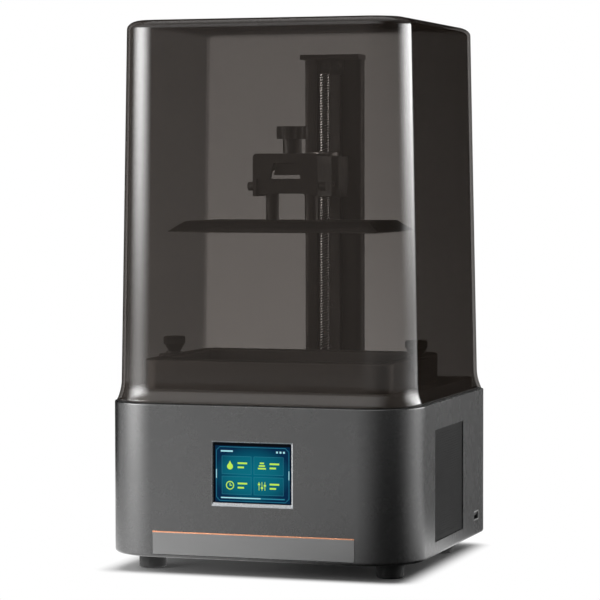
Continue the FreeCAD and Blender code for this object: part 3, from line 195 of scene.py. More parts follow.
# worked surfaces: colour, metal share, roughness, spread of the colour, size and depth of the grain in millimetres,
# stretch of the grain, and the gloss of what isn't metal
surfaces = {
    "basePaint": dict(colour=(0.118, 0.118, 0.118), metal=0.95, rough=0.27, spread=0.03, grain=0.35, depth=0.002),
    "underPlate": dict(colour=(0.03, 0.03, 0.03), metal=0.0, rough=0.6, spread=0.2, grain=0.6, depth=0.03),
    "deckPaint": dict(colour=(0.60, 0.585, 0.565), metal=0.1, rough=0.45, spread=0.05, grain=0.5, depth=0.02),
    "blackRubber": dict(colour=(0.012, 0.012, 0.012), metal=0.0, rough=0.75, spread=0.25, grain=0.5, depth=0.04),
    "stripGrey": dict(colour=(0.235, 0.235, 0.235), metal=0.8, rough=0.34, spread=0.06, grain=0.25, depth=0.006,
                      stretch=(0.02, 1, 1)),
    "copperLine": dict(colour=(0.86, 0.43, 0.27), metal=1.0, rough=0.26, spread=0.08, grain=0.2, depth=0.004,
                       stretch=(0.02, 1, 1)),
    "ventPlastic": dict(colour=(0.013, 0.013, 0.013), metal=0.0, rough=0.62, spread=0.12, grain=0.4, depth=0.02,
                        shine=0.08),
    "bezelGrey": dict(colour=(0.40, 0.415, 0.43), metal=0.9, rough=0.24, spread=0.06, grain=0.2, depth=0.003),
    "brightSteel": dict(colour=(0.56, 0.555, 0.55), metal=1.0, rough=0.22, spread=0.10, grain=0.2, depth=0.004,
                        stretch=(1, 1, 6)),
    "oiledSteel": dict(colour=(0.30, 0.29, 0.28), metal=1.0, rough=0.30, spread=0.10, grain=0.25, depth=0.005),
    "darkSteel": dict(colour=(0.11, 0.105, 0.10), metal=0.9, rough=0.36, spread=0.10, grain=0.2, depth=0.006,
                      stretch=(1, 1, 6)),
    "darkMetal": dict(colour=(0.046, 0.042, 0.039), metal=0.4, rough=0.42, spread=0.10, grain=0.25, depth=0.010),
    "plateMetal": dict(colour=(0.085, 0.08, 0.076), metal=0.7, rough=0.33, spread=0.10, grain=0.3, depth=0.008,
                       stretch=(0.03, 1, 1)),
    "knobPlastic": dict(colour=(0.03, 0.028, 0.026), metal=0.0, rough=0.42, spread=0.15, grain=0.35, depth=0.02),
    "vatMetal": dict(colour=(0.16, 0.148, 0.138), metal=0.5, rough=0.4, spread=0.08, grain=0.3, depth=0.010),
    "washerSteel": dict(colour=(0.52, 0.52, 0.52), metal=1.0, rough=0.25, spread=0.08, grain=0.2, depth=0.004),
    "cutMetal": dict(colour=(0.95, 0.95, 0.94), metal=1.0, rough=0.2, spread=0.03, grain=0.2, depth=0.002),
    "socketShell": dict(colour=(0.78, 0.78, 0.77), metal=0.4, rough=0.3, spread=0.06, grain=0.2, depth=0.004),
    "blackPlastic": dict(colour=(0.02, 0.02, 0.02), metal=0.0, rough=0.5, spread=0.15, grain=0.5, depth=0.03),
    "markWhite": dict(colour=(0.75, 0.75, 0.74), metal=0.0, rough=0.5, spread=0.05, grain=0.3, depth=0.01),
}
# all of them mottled by fine grain and broad patches
mottling = {"broad": 22 * mm, "fineShare": 0.35, "broadShare": 0.65, "roughSpread": 0.15}


def workedSurface(name, colour, metal, rough, spread, grain, depth, stretch=None, shine=0.5):
    material, finish = newFinish(name)
    fine = finish.noise(finish.objectPlace(stretch), grain * mm)
    broad = finish.noise(finish.objectPlace(), mottling["broad"], detail=3.0)
    mottle = mottling["fineShare"] * fine + mottling["broadShare"] * broad
    uneven = mottling["roughSpread"]
    finish.shade(
        baseColor=finish.blend(mottle, tint(colour, 1 - spread), tint(colour, 1 + spread)),
        metallic=metal,
        roughness=rough * (1 - uneven + 2 * uneven * mottle),
        specularIorLevel=shine,
        normal=finish.bump(fine, depth * mm),
    )
    return material


finishes = {name: workedSurface(name, **look) for name, look in surfaces.items()}
print("worked surfaces ready:", len(finishes))

# smoky acrylic: a warm grey that lets part of the light through, less of it at a glancing angle and towards the
# crown, where it is heavier by this share for each metre of height
smoke = {"colour": (0.034, 0.026, 0.0205), "passed": (0.97, 0.948, 0.932), "faceOn": 0.43, "glancing": 0.58,
         "densest": 0.92, "rough": 0.045, "shine": 0.9, "heavier": 0.22, "middle": 0.28,
         "haze": 30 * mm, "hazeSpread": 0.15, "roughSpread": 0.2}


def smokyAcrylic(name, shine):
    material, finish = newFinish(name)
    facing = finish.add("ShaderNodeLayerWeight", {}, {"Blend": 0.5}, output="Facing")
    haze = finish.noise(finish.objectPlace(), smoke["haze"], detail=4.0)
    uneven, cloudy = smoke["roughSpread"], smoke["hazeSpread"]
    height = finish.objectAxis("Z")
    density = smoke["faceOn"] + smoke["glancing"] * facing ** 2 + (height - smoke["middle"]) * smoke["heavier"]
    finish.shade(
        baseColor=finish.blend(haze, tint(smoke["colour"], 1 - cloudy), tint(smoke["colour"], 1 + cloudy)),
        roughness=smoke["rough"] * (1 - uneven + 2 * uneven * haze),
        specularIorLevel=shine,
    )
    through = finish.add("ShaderNodeBsdfTransparent", {}, {"Color": smoke["passed"] + (1,)})
    finish.mixOver(through, density & smoke["densest"])
    return material


# clear sheets and lenses, all with the same faint streaks
streaks = {"size": 12 * mm, "thin": 0.92, "thick": 1.05, "roughSpread": 0.3}
clears = {
    "clearFilm": dict(colour=(0.80, 0.83, 0.85), alpha=0.22, rough=0.12),
    "maskGlass": dict(colour=(0.012, 0.013, 0.017), alpha=0.94, rough=0.06),
    "lensClear": dict(colour=(0.86, 0.87, 0.88), alpha=0.35, rough=0.08),
}


def clearSheet(name, colour, alpha, rough):
    material, finish = newFinish(name)
    streak = finish.noise(finish.objectPlace(), streaks["size"], detail=3.0)
    uneven = streaks["roughSpread"]
    finish.shade(
        baseColor=finish.blend(streak, tint(colour, streaks["thin"]), tint(colour, streaks["thick"])),
        roughness=rough * (1 - uneven + 2 * uneven * streak),
        alpha=alpha,
    )
    return material


# a stack of punched laminations between two end caps
lamination = {"pitch": 0.5 * mm, "colour": (0.09, 0.09, 0.092), "gap": (0.02, 0.02, 0.02),
              "share": 0.8, "depth": 0.03 * mm, "metal": 0.8, "gapRough": 0.5, "smoother": 0.12}


def motorStack():
    material, finish = newFinish("motorSteel")
    layer = (finish.objectAxis("Z") / lamination["pitch"]).fraction() < lamination["share"]
    finish.shade(
        baseColor=finish.blend(layer, lamination["gap"] + (1,), lamination["colour"] + (1,)),
        metallic=lamination["metal"],
        roughness=lamination["gapRough"] - lamination["smoother"] * layer,
        normal=finish.bump(layer, lamination["depth"]),
    )
    return material


# solder mask with straight copper tracks that show through it
board = {"mask": (0.012, 0.085, 0.042), "track": (0.05, 0.17, 0.07), "pitch": 2.5 * mm, "start": 0.42,
         "width": 0.3, "depth": 0.03 * mm, "rough": 0.32, "smoother": 0.1}


def circuitBoard():
    material, finish = newFinish("circuitBoard")
    spot = finish.add("ShaderNodeTexVoronoi", {"distance": "MANHATTAN"},
                      {"Vector": finish.objectPlace(), "Scale": 1 / board["pitch"]})
    track = (spot > board["start"]) * (spot < board["start"] + board["width"])
    finish.shade(
        baseColor=finish.blend(track, board["mask"] + (1,), board["track"] + (1,)),
        roughness=board["rough"] - board["smoother"] * track,
        normal=finish.bump(track, board["depth"]),
    )
    return material


# the screen's picture, in millimetres from the middle of the pane
picture = {
    "litWidth": 28.3, "litHeight": 20.3, "black": (0.001, 0.002, 0.004),
    "halfWidth": 27.4, "halfHeight": 19.4, "cut": 2.6, "line": 0.16,
    "navy": (0.0008, 0.021, 0.062), "teal": (0.0, 0.120, 0.180), "panel": (0.003, 0.150, 0.205),
    "edge": (0.025, 0.22, 0.31), "bright": (0.36, 0.72, 0.80), "sign": (0.52, 0.84, 0.09),
    "tile": (11.2, 6.5), "tileSpots": [(-12.1, 6.4), (12.1, 6.4), (-12.1, -8.2), (12.1, -8.2)],
    "tileLine": 0.22, "signShift": -5.0,
    "labelShift": 4.4, "labels": ((1.5, 3.6), (-1.5, 2.4)), "labelHeight": 0.62,
    "glow": (30, 21), "panelLeast": 0.25, "panelGlow": 0.45, "cutSlope": 0.7,
    "barTop": 16.4, "barBottom": -17.2, "barLine": 0.42, "barHalf": 24.2, "progress": (-9, 15),
    "title": (-19.5, 4.6, 0.55), "dots": (18.5, 2.6, 0.7), "sideMark": (0.3, 3.2),
    "glass": 0.001, "rough": 0.12, "shine": 0.02,
}


def either(masks):                                     # where any of them is
    made = masks[0]
    for mask in masks[1:]:
        made = made | mask
    return made


def slab(across, along, x, y, halfX, halfY):           # a filled box
    return (abs(across - x) < halfX) * (abs(along - y) < halfY)


def ringMask(across, along, inner, outer):
    reach = across ** 2 + along ** 2
    return (reach > inner ** 2) * (reach < outer ** 2)


# the four signs, each in millimetres about its own middle
def dropSign(a, b):
    bowl = ringMask(a, b + 1.0, 0.0, 2.2)
    tip = (abs(a) < (3.2 - b) * 0.48) * (b > -0.2) * (b < 3.2)
    return bowl | tip


def layersSign(a, b):
    return either([slab(a, b, 0, 1.9 * step, 3.0 - 0.7 * (step + 1), 0.55) for step in (-1, 0, 1)])


def clockSign(a, b):
    hands = slab(a, b, 0, 0.8, 0.3, 1.1) | slab(a, b, 0.7, 0, 0.9, 0.3)
    return ringMask(a, b, 2.4, 3.1) | hands


def slidersSign(a, b):
    knobs = ((-2.2, 1.3), (0, -1.2), (2.2, 0.5))
    rods = [slab(a, b, x, 0, 0.22, 3.0) for x, y in knobs]
    return either(rods + [slab(a, b, x, y, 0.85, 0.6) for x, y in knobs])


def screenPicture():
    material, finish = newFinish("screenFace")
    low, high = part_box("display_bezel")
    across = finish.objectAxis("X") / mm
    along = (finish.objectAxis("Z") - (low.z + high.z) / 2) / mm
    reachX, reachY = picture["glow"]
    glow = (1 - ((across / reachX) ** 2 + (along / reachY) ** 2)) | 0.0
    colour = finish.blend(glow, picture["navy"] + (1,), picture["teal"] + (1,))
    border = (abs(across) > picture["litWidth"]) | (abs(along) > picture["litHeight"])
    colour = finish.blend(border, colour, picture["black"] + (1,))
    halfX, halfY, cut = picture["halfWidth"], picture["halfHeight"], picture["cut"]
    corner = (abs(across) + abs(along) - halfX - halfY + cut) * picture["cutSlope"]
    rim = (abs(across) - halfX) | (abs(along) - halfY) | corner
    edges, signs, panels = [abs(rim) < picture["line"]], [], []
    tileX, tileY = picture["tile"]
    for (x, y), sign in zip(picture["tileSpots"], (dropSign, layersSign, clockSign, slidersSign)):
        inside = slab(across, along, x, y, tileX - picture["tileLine"], tileY - picture["tileLine"])
        panels.append(inside)
        edges.append(slab(across, along, x, y, tileX, tileY) - inside)
        signs.append(sign(across - (x + picture["signShift"]), along - y))
        first = picture["labels"][0][1]
        for row, half in picture["labels"]:            # two plain bars where a label would be
            middle = x + picture["labelShift"] + half - first
            signs.append(slab(across, along, middle, y + row, half, picture["labelHeight"]))
    titleX, titleHalf, titleLine = picture["title"]
    dotX, dotStep, dotHalf = picture["dots"]
    progressX, progressHalf = picture["progress"]
    top, bottom, barLine = picture["barTop"], picture["barBottom"], picture["barLine"]
    brights = [slab(across, along, titleX, top, titleHalf, titleLine)]
    brights += [slab(across, along, dotX + dotStep * step, top, dotHalf, dotHalf) for step in range(3)]
    brights.append(slab(across, along, progressX, bottom, progressHalf, barLine))
    brights += [slab(across, along, side * halfX, 0, *picture["sideMark"]) for side in (-1, 1)]
    edges.append(slab(across, along, 0, bottom, picture["barHalf"], barLine))
    lit = either(panels) * (picture["panelLeast"] + picture["panelGlow"] * glow)
    colour = finish.blend(lit, colour, picture["panel"] + (1,))
    for masks, ink in ((edges, "edge"), (brights, "bright"), (signs, "sign")):
        colour = finish.blend(either(masks), colour, picture[ink] + (1,))
    finish.shade(baseColor=grey(picture["glass"]), roughness=picture["rough"], specularIorLevel=picture["shine"],
                 emissionColor=colour, emissionStrength=1.0)
    return material


finishes["smokeCover"] = smokyAcrylic("smokeCover", smoke["shine"])
finishes["smokeInside"] = smokyAcrylic("smokeInside", 0.0)
for sheetName, sheetLook in clears.items():
    finishes[sheetName] = clearSheet(sheetName, **sheetLook)
finishes["motorSteel"] = motorStack()
finishes["circuitBoard"] = circuitBoard()
finishes["screenFace"] = screenPicture()
print("finishes ready:", len(finishes))


def camel(name):
    first, *rest = name.split("_")
    return first + "".join(word.title() for word in rest)


def slotOf(node):                                      # a CAD node's material is named after its slot
    return frame["nodes"][node].data.materials[0].name


def bodyOf(node):
    return body_of(frame["nodes"][node])[0]


nodeSlots = {node: slotOf(node) for node in frame["nodes"]}
for node, nodeSlot in nodeSlots.items():               # every CAD node gets its finish, shown or not
    frame["nodes"][node].data.materials[0] = finishes[camel(nodeSlot)]


def addPiece(bm, name, stands, finish=None, hides=True, sharp=35):
    mesh = bpy.data.meshes.new(name)
    bm.to_mesh(mesh)
    bm.free()
    mesh.shade_smooth()
    mesh.set_sharp_from_angle(angle=math.radians(sharp))
    mesh.materials.append(finishes[finish or camel(nodeSlots[stands])])
    piece = bpy.data.objects.new(name, mesh)
    scene.collection.objects.link(piece)
    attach(piece, bodyOf(stands))
    if hides:
        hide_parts(stands)
    return piece


def evenShading(piece):
    piece.modifiers.new("evenShading", "WEIGHTED_NORMAL").keep_sharp = True


def bevelEdges(bm, edges, width, segments=2):          # gives the new faces
    return bmesh.ops.bevel(bm, geom=edges, offset=width, offset_type="OFFSET", affect="EDGES",
                           segments=segments, profile=0.5, material=-1, clamp_overlap=True)["faces"]


def sharpEdges(bm, angle=edgeAngle):
    return [edge for edge in bm.edges
            if len(edge.link_faces) == 2 and edge.calc_face_angle(0.0) > math.radians(angle)]


def weld(bm, gap=weldGap):
    bmesh.ops.remove_doubles(bm, verts=bm.verts[:], dist=gap)


def faceOut(bm):
    bmesh.ops.recalc_face_normals(bm, faces=bm.faces[:])


def turned(bm, outline, centre, steps, closed=False):  # an outline of (reach, height) spun about an upright axis
    chain = [bm.verts.new((centre.x + reach, centre.y, height)) for reach, height in outline]
    ends = chain[1:] + chain[:1] if closed else chain[1:]
    line = [bm.edges.new(pair) for pair in zip(chain, ends)]
    bmesh.ops.spin(bm, geom=chain + line, cent=(centre.x, centre.y, 0), axis=up, angle=math.tau, steps=steps,
                   use_merge=True)
    weld(bm)


def grownVerts(bm, edges):                             # the far ends of edges drawn out
    return [part for part in bmesh.ops.extrude_edge_only(bm, edges=edges)["geom"]
            if isinstance(part, bmesh.types.BMVert)]


# bare metal that is duller than the rest of its slot
otherMetal = {"lead_nut": "oiledSteel", "washer_left": "darkSteel", "washer_right": "darkSteel"}

# machined and moulded pieces: the CAD shape with its sharp edges broken, by this many millimetres
broken = {
    "z_column": 0.5, "column_cap": 0.4, "carriage_block": 0.4, "carriage_arm": 0.6, "crossbar": 0.6,
    "clamp_head": 0.6, "plate_posts": 0.4, "rail_block": 0.35, "linear_rail": 0.3,
    "lead_nut": 0.3, "clamp_knob": 0.6, "clamp_pad": 0.3, "front_strip": 0.25,
    "accent_line": 0.2, "inlet_tray": 0.3, "power_jack": 0.2, "switch_housing": 0.3,
    "switch_rocker": 0.4, "rear_grille": 0.35, "fan_frame": 0.25, "fan_rotor": 0.12, "film_frame": 0.25,
    "limit_sensor": 0.3, "sensor_flag": 0.12, "side_bolts": 0.5, "carriage_bolts": 0.25, "cap_screws": 0.2,
    "rail_screws": 0.2, "column_screws": 0.25, "deck_screws": 0.25, "motor_screws": 0.25,
    "washer_left": 0.2, "washer_right": 0.2, "stepper_motor": 0.6, "heat_sink": 0.2, "light_hood": 0.4,
    "bottom_plate": 0.5, "cover_seal": 0.15, "touch_display": 0.12, "lcd_glass": 0.1,
}


def mergedCopy(node):
    bm = bmesh.new()
    bm.from_mesh(frame["nodes"][node].data)
    weld(bm)
    bmesh.ops.dissolve_limit(bm, angle_limit=math.radians(flatAngle), verts=bm.verts[:], edges=bm.edges[:])
    return bm


def brokenEdges(node, width):
    bm = mergedCopy(node)
    bevelEdges(bm, sharpEdges(bm), width * mm)
    evenShading(addPiece(bm, camel(node), node, otherMetal.get(node)))


for node, width in broken.items():
    brokenEdges(node, width)
print("edges broken on", len(broken), "pieces")

# the print plate: dark all over but for a bare machined chamfer round its working face
plate = {"chamfer": 0.45 * mm, "corner": 0.25 * mm, "rimBand": 1 * mm}


def printPlate():
    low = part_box("print_plate")[0]
    bm = mergedCopy("print_plate")
    rim = [edge for edge in sharpEdges(bm) if all(vert.co.z < low.z + slack for vert in edge.verts)]
    for face in bevelEdges(bm, rim, plate["chamfer"], segments=1):
        face.material_index = 1
    above = low.z + plate["rimBand"]
    rest = [edge for edge in sharpEdges(bm) if min(vert.co.z for vert in edge.verts) > above]
    bevelEdges(bm, rest, plate["corner"])
    piece = addPiece(bm, "printPlate", "print_plate")
    piece.data.materials.append(finishes["cutMetal"])
    evenShading(piece)


printPlate()

# the USB socket: a bright rim, with every face deeper than it painted black as painted shade in the hollow
socket = {"edge": 0.08 * mm, "rim": 0.5 * mm}


def usbSocket():
    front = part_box("usb_socket")[1].x
    bm = mergedCopy("usb_socket")
    bevelEdges(bm, sharpEdges(bm), socket["edge"])
    # painted shade: faces deeper than the rim get black plastic
    for face in bm.faces:
        face.material_index = int(face.calc_center_median().x < front - socket["rim"])
    piece = addPiece(bm, "usbSocket", "usb_socket", "socketShell")
    piece.data.materials.append(finishes["blackPlastic"])
    evenShading(piece)


usbSocket()

# the screen's frame: a shallow dish with a short inner wall, its lower border broader
bezel = {"rim": 0.12 * mm, "slope": 1.45 * mm, "dish": 0.6 * mm, "lift": 0.9 * mm, "topLift": 0.85 * mm,
         "leftShift": -0.5 * mm, "rightShift": 0.5 * mm}


def displayBezel():
    low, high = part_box("display_bezel")
    bm = bmesh.new()
    bmesh.ops.create_grid(bm, x_segments=1, y_segments=1, size=0.5)
    size, centre = high - low, (low + high) / 2
    stand = Matrix.Translation((centre.x, low.y, centre.z)) @ Matrix.Rotation(math.pi / 2, 4, "X")
    bmesh.ops.transform(bm, matrix=stand @ Matrix.Diagonal((size.x, size.z, 1, 1)), verts=bm.verts[:])
    pane = bm.faces[:]
    for reach, sink in ((bezel["rim"], 0), (bezel["slope"], -bezel["dish"])):
        bmesh.ops.inset_region(bm, faces=pane, thickness=reach, depth=sink, use_even_offset=True,
                               use_boundary=True)
    for vec, side in ((up * bezel["lift"], lambda spot: spot.z < centre.z),
                      (up * bezel["topLift"], lambda spot: spot.z > centre.z),
                      (Vector((bezel["leftShift"], 0, 0)), lambda spot: spot.x < centre.x),
                      (Vector((bezel["rightShift"], 0, 0)), lambda spot: spot.x > centre.x)):
        bmesh.ops.translate(bm, vec=vec, verts=[vert for vert in pane[0].verts if side(vert.co)])
    sunk = bmesh.ops.extrude_discrete_faces(bm, faces=pane)["faces"]
    inner = [vert for face in sunk for vert in face.verts]
    bmesh.ops.translate(bm, vec=(0, high.y - inner[0].co.y, 0), verts=inner)
    bmesh.ops.delete(bm, geom=sunk, context="FACES")
    outer = [edge for edge in bm.edges if edge.is_boundary and edge.verts[0].co.y < low.y + slack]
    bmesh.ops.translate(bm, vec=(0, size.y, 0), verts=grownVerts(bm, outer))
    weld(bm)
    faceOut(bm)
    addPiece(bm, "displayBezel", "display_bezel", sharp=12)


displayBezel()
print("print plate, socket and screen frame ready")

# the lift-off cover: flared foot, slight taper, rounded crown
cover = {
    "flare": 3.5 * mm, "flareHeight": 15 * mm, "taper": 5 * mm, "crown": 10 * mm, "crownHeight": 6.5 * mm,
    "wall": 2.5 * mm, "frontRadius": 37.4 * mm, "rearRadius": 10.9 * mm, "leastRadius": 3.5 * mm,
    "cornerSteps": 16, "curveSteps": 8,
}


def planLoop(bm, low, high, inset, height):
    # the only face there, with its corner vertices bevelled, of which the rim is kept
    made = bmesh.ops.create_grid(bm, x_segments=1, y_segments=1, size=1)["verts"]
    half = (high - low) / 2 - Vector((inset, inset, 0))
    middle = (high + low) / 2
    bmesh.ops.transform(bm, matrix=Matrix.Translation((middle.x, middle.y, height))
                        @ Matrix.Diagonal((half.x, half.y, 1, 1)), verts=made)
    front = [vert for vert in made if vert.co.y < middle.y]
    rear = [vert for vert in made if vert.co.y > middle.y]
    for ends, radius in ((front, cover["frontRadius"]), (rear, cover["rearRadius"])):
        bmesh.ops.bevel(bm, geom=ends, offset=max(radius - inset, cover["leastRadius"]), offset_type="OFFSET",
                        affect="VERTICES", segments=cover["cornerSteps"], profile=0.5, material=-1)
    edges = [edge for face in bm.faces for edge in face.edges]
    bmesh.ops.delete(bm, geom=bm.faces[:], context="FACES_ONLY")
    return edges


def coverProfile(height):
    steps = [step / cover["curveSteps"] for step in range(cover["curveSteps"] + 1)]
    flare = [(cover["flare"] * (1 - (1 - share) ** 2), cover["flareHeight"] * share) for share in steps]
    lean = cover["flare"] + cover["taper"]
    crown = [(lean + cover["crown"] * (1 - math.cos(share * math.pi / 2)),
              height - cover["crownHeight"] * (1 - math.sin(share * math.pi / 2))) for share in steps]
    return flare + crown


def coverShell():
    low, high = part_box("cover_shell")
    bm = bmesh.new()
    loops = [planLoop(bm, low, high, inset, low.z + rise) for inset, rise in coverProfile(high.z - low.z)]
    for lower, upper in zip(loops, loops[1:]):
        bmesh.ops.bridge_loops(bm, edges=lower + upper)
    bmesh.ops.edgeloop_fill(bm, edges=loops[-1])
    weld(bm)
    faceOut(bm)
    piece = addPiece(bm, "coverShell", "cover_shell")
    wall = piece.modifiers.new("wall", "SOLIDIFY")
    wall.thickness = cover["wall"]
    wall.offset = -1
    wall.use_even_offset = True
    piece.data.materials.append(finishes["smokeInside"])
    wall.material_offset = 1                           # the inner faces
    evenShading(piece)


coverShell()
print("cover shell ready")

# the lead screw: a four-start thread, spun with a rise of one lead per turn
thread = {"lead": 8 * mm, "pitch": 2 * mm, "root": 2.9 * mm, "crest": 4.0 * mm, "steps": 28,
          "shape": [(0.0, 0), (0.25, 0), (0.4, 1), (0.85, 1)], "overrun": 1.1, "spareTurns": 10,
          "crestBand": 0.2 * mm}


def leadScrew():
    low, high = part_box("lead_screw")
    axis = (low + high) / 2
    bm = bmesh.new()
    turns = int((high.z - low.z) / thread["pitch"]) + thread["spareTurns"]
    chain = []
    for turn in range(turns):
        for share, crest in thread["shape"]:
            radius = thread["root"] + crest * (thread["crest"] - thread["root"])
            height = low.z - thread["lead"] * thread["overrun"] + (turn + share) * thread["pitch"]
            chain.append(bm.verts.new((axis.x + radius, axis.y, height)))
    line = [bm.edges.new(pair) for pair in zip(chain, chain[1:])]
    bmesh.ops.spin(bm, geom=chain + line, cent=(axis.x, axis.y, 0), axis=up, angle=math.tau,
                   dvec=up * thread["lead"] / thread["steps"], steps=thread["steps"])
    weld(bm, slack)
    for height, normal in ((low.z, -up), (high.z, up)):
        cut = bmesh.ops.bisect_plane(bm, geom=bm.verts[:] + bm.edges[:] + bm.faces[:], dist=weldGap / 10,
                                     plane_co=(0, 0, height), plane_no=normal, clear_outer=True)
        rim = [part for part in cut["geom_cut"] if isinstance(part, bmesh.types.BMEdge)]
        bmesh.ops.edgeloop_fill(bm, edges=rim)
    faceOut(bm)
    for face in bm.faces:                              # painted shade: roots and flanks get dark metal, so only the bare crests catch light
        reach = min((vert.co.xy - axis.xy).length for vert in face.verts)
        face.material_index = int(reach < thread["crest"] - thread["crestBand"])
    piece = addPiece(bm, "leadScrew", "lead_screw", sharp=50)
    piece.data.materials.append(finishes["darkMetal"])


leadScrew()
print("lead screw ready")

# the side vent: a fine perforated sheet with a plain border
vent = {"pitch": 1.8 * mm, "hole": 0.46 * mm, "border": 2.2 * mm, "sheet": 1.0 * mm}


def sideVent():
    low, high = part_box("side_vent_panel")
    size = high - low
    counts = [int((length - 2 * vent["border"]) / vent["pitch"]) for length in (size.y, size.z)]
    reach = Vector(counts) * vent["pitch"] / 2
    bm = bmesh.new()
    bmesh.ops.create_grid(bm, x_segments=2 * counts[0], y_segments=2 * counts[1], size=1)
    bmesh.ops.scale(bm, vec=(reach.x, reach.y, 1), verts=bm.verts[:])
    middles = [vert for vert in bm.verts
               if all(round((vert.co[axis] + reach[axis]) * 2 / vent["pitch"]) % 2 for axis in (0, 1))]
    made = bmesh.ops.bevel(bm, geom=middles, offset=vent["hole"], offset_type="OFFSET", affect="VERTICES",
                           segments=2, profile=0.5, material=-1)
    bmesh.ops.delete(bm, geom=made["faces"], context="FACES")
    outer = [edge for edge in bm.edges if edge.is_boundary
             and all(max(abs(vert.co.x) - reach.x, abs(vert.co.y) - reach.y) > -slack for vert in edge.verts)]
    scale = (size.y / 2 / reach.x, size.z / 2 / reach.y, 1)
    bmesh.ops.scale(bm, vec=scale, verts=grownVerts(bm, outer))
    bmesh.ops.solidify(bm, geom=bm.faces[:], thickness=vent["sheet"])
    turn = Matrix(((0, 0, 1, 0), (1, 0, 0, 0), (0, 1, 0, 0), (0, 0, 0, 1)))      # X, Y of the sheet to Y, Z
    bmesh.ops.transform(bm, matrix=turn, verts=bm.verts[:])
    front = max(vert.co.x for vert in bm.verts)
    centre = (low + high) / 2
    bmesh.ops.translate(bm, vec=(high.x - front, centre.y, centre.z), verts=bm.verts[:])
    faceOut(bm)
    addPiece(bm, "sideVentPanel", "side_vent_panel")


sideVent()
print("side vent ready")

# rubber feet: turned pads with a rounded rim, bored through for a sunk screw
foot = {"radius": 10 * mm, "rim": 1.6 * mm, "sink": 3.9 * mm, "steps": 40, "rimAngle": 60, "rimSteps": 4}


def rubberFeet():
    low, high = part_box("rubber_feet")
    radius = foot["radius"]
    spots = [(x, y) for x in (low.x + radius, high.x - radius) for y in (low.y + radius, high.y - radius)]
    bm = bmesh.new()
    for x, y in spots:
        outline = [(foot["sink"], high.z), (radius, high.z), (radius, low.z), (foot["sink"], low.z)]
        turned(bm, outline, Vector((x, y, 0)), foot["steps"], closed=True)
    faceOut(bm)
    bevelEdges(bm, sharpEdges(bm, foot["rimAngle"]), foot["rim"], segments=foot["rimSteps"])
    evenShading(addPiece(bm, "rubberFeet", "rubber_feet"))


rubberFeet()
print("feet ready")

# vat thumb screws: a smooth cone under a knurled grip
thumb = {"grip": 6.0 * mm, "edge": 0.6 * mm, "ridges": 44, "knurl": 0.28 * mm, "knurlShare": 0.6,
         "neck": 4.1 * mm, "shank": 2.0 * mm, "dip": 0.8 * mm, "dipShare": 0.55, "gap": 0.05 * mm, "tip": 0.5 * mm,
         "band": 0.75 * mm}


def thumbScrew(node):
    low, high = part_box(node)
    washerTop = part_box(node.replace("vat_screw", "washer"))[1].z
    axis = (low + high) / 2
    radius = (high.x - low.x) / 2
    bm = bmesh.new()
    seat, grip, edge = washerTop + thumb["gap"], high.z - thumb["grip"], thumb["edge"]
    outline = [(0, high.z - thumb["dip"]), (radius * thumb["dipShare"], high.z), (radius - edge, high.z),
               (radius, high.z - edge), (radius, grip + edge), (radius - edge, grip), (thumb["neck"], seat),
               (thumb["shank"], seat), (thumb["shank"], low.z + thumb["tip"]),
               (thumb["shank"] - thumb["tip"], low.z), (0, low.z)]
    turned(bm, outline, axis, thumb["ridges"])
    faceOut(bm)
    gripMiddle = high.z - thumb["grip"] / 2
    sides = [face for face in bm.faces if abs(face.calc_center_median().z - gripMiddle) < thumb["band"]]
    bmesh.ops.inset_individual(bm, faces=sides, thickness=thumb["knurl"] * thumb["knurlShare"],
                               depth=-thumb["knurl"])
    addPiece(bm, camel(node), node, sharp=28)


for side in ("left", "right"):
    thumbScrew("vat_screw_" + side)
print("thumb screws ready")

# marks on the power rocker: a bar on one half of its face and a ring on the other
marks = {"height": 3.4 * mm, "stroke": 0.55 * mm, "lift": 0.08 * mm, "ring": (1.1824 * mm, 1.7221 * mm),
         "steps": 24, "facing": 0.8}


def rockerMarks():
    low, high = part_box("switch_rocker")
    middleHeight = (low.z + high.z) / 2
    faces = [face for face in frame["nodes"]["switch_rocker"].data.polygons
             if face.normal.y > marks["facing"]]
    half, (inner, outer) = marks["lift"] / 2, marks["ring"]
    bm = bmesh.new()
    outline = [(inner, -half), (outer, -half), (outer, half), (inner, half)]
    turned(bm, outline, Vector(), marks["steps"], closed=True)
    ring = bm.verts[:]
    bar = bmesh.ops.create_cube(bm, size=1)["verts"]
    bmesh.ops.scale(bm, vec=(marks["stroke"], marks["height"], marks["lift"]), verts=bar)
    for upper, mark in ((True, bar), (False, ring)):
        part = [face for face in faces if (face.center.z > middleHeight) == upper]
        area = sum(face.area for face in part)
        middle = sum((face.center * face.area for face in part), Vector()) / area
        normal = sum((face.normal * face.area for face in part), Vector()).normalized()
        turn = normal.to_track_quat("Z", "Y").to_matrix().to_4x4()
        bmesh.ops.transform(bm, matrix=Matrix.Translation(middle) @ turn, verts=mark)
    faceOut(bm)
    addPiece(bm, "rockerMarks", "switch_rocker", "markWhite", hides=False)


rockerMarks()
print("rocker marks ready")

# camera at the photograph's viewing angle
view = {"azimuth": 18.084, "pitch": 2.725, "roll": -0.097, "distance": 2.04682, "aimHeight": 0.19552,
        "aimShift": 0.00079, "lens": 163.606, "sensor": 36}


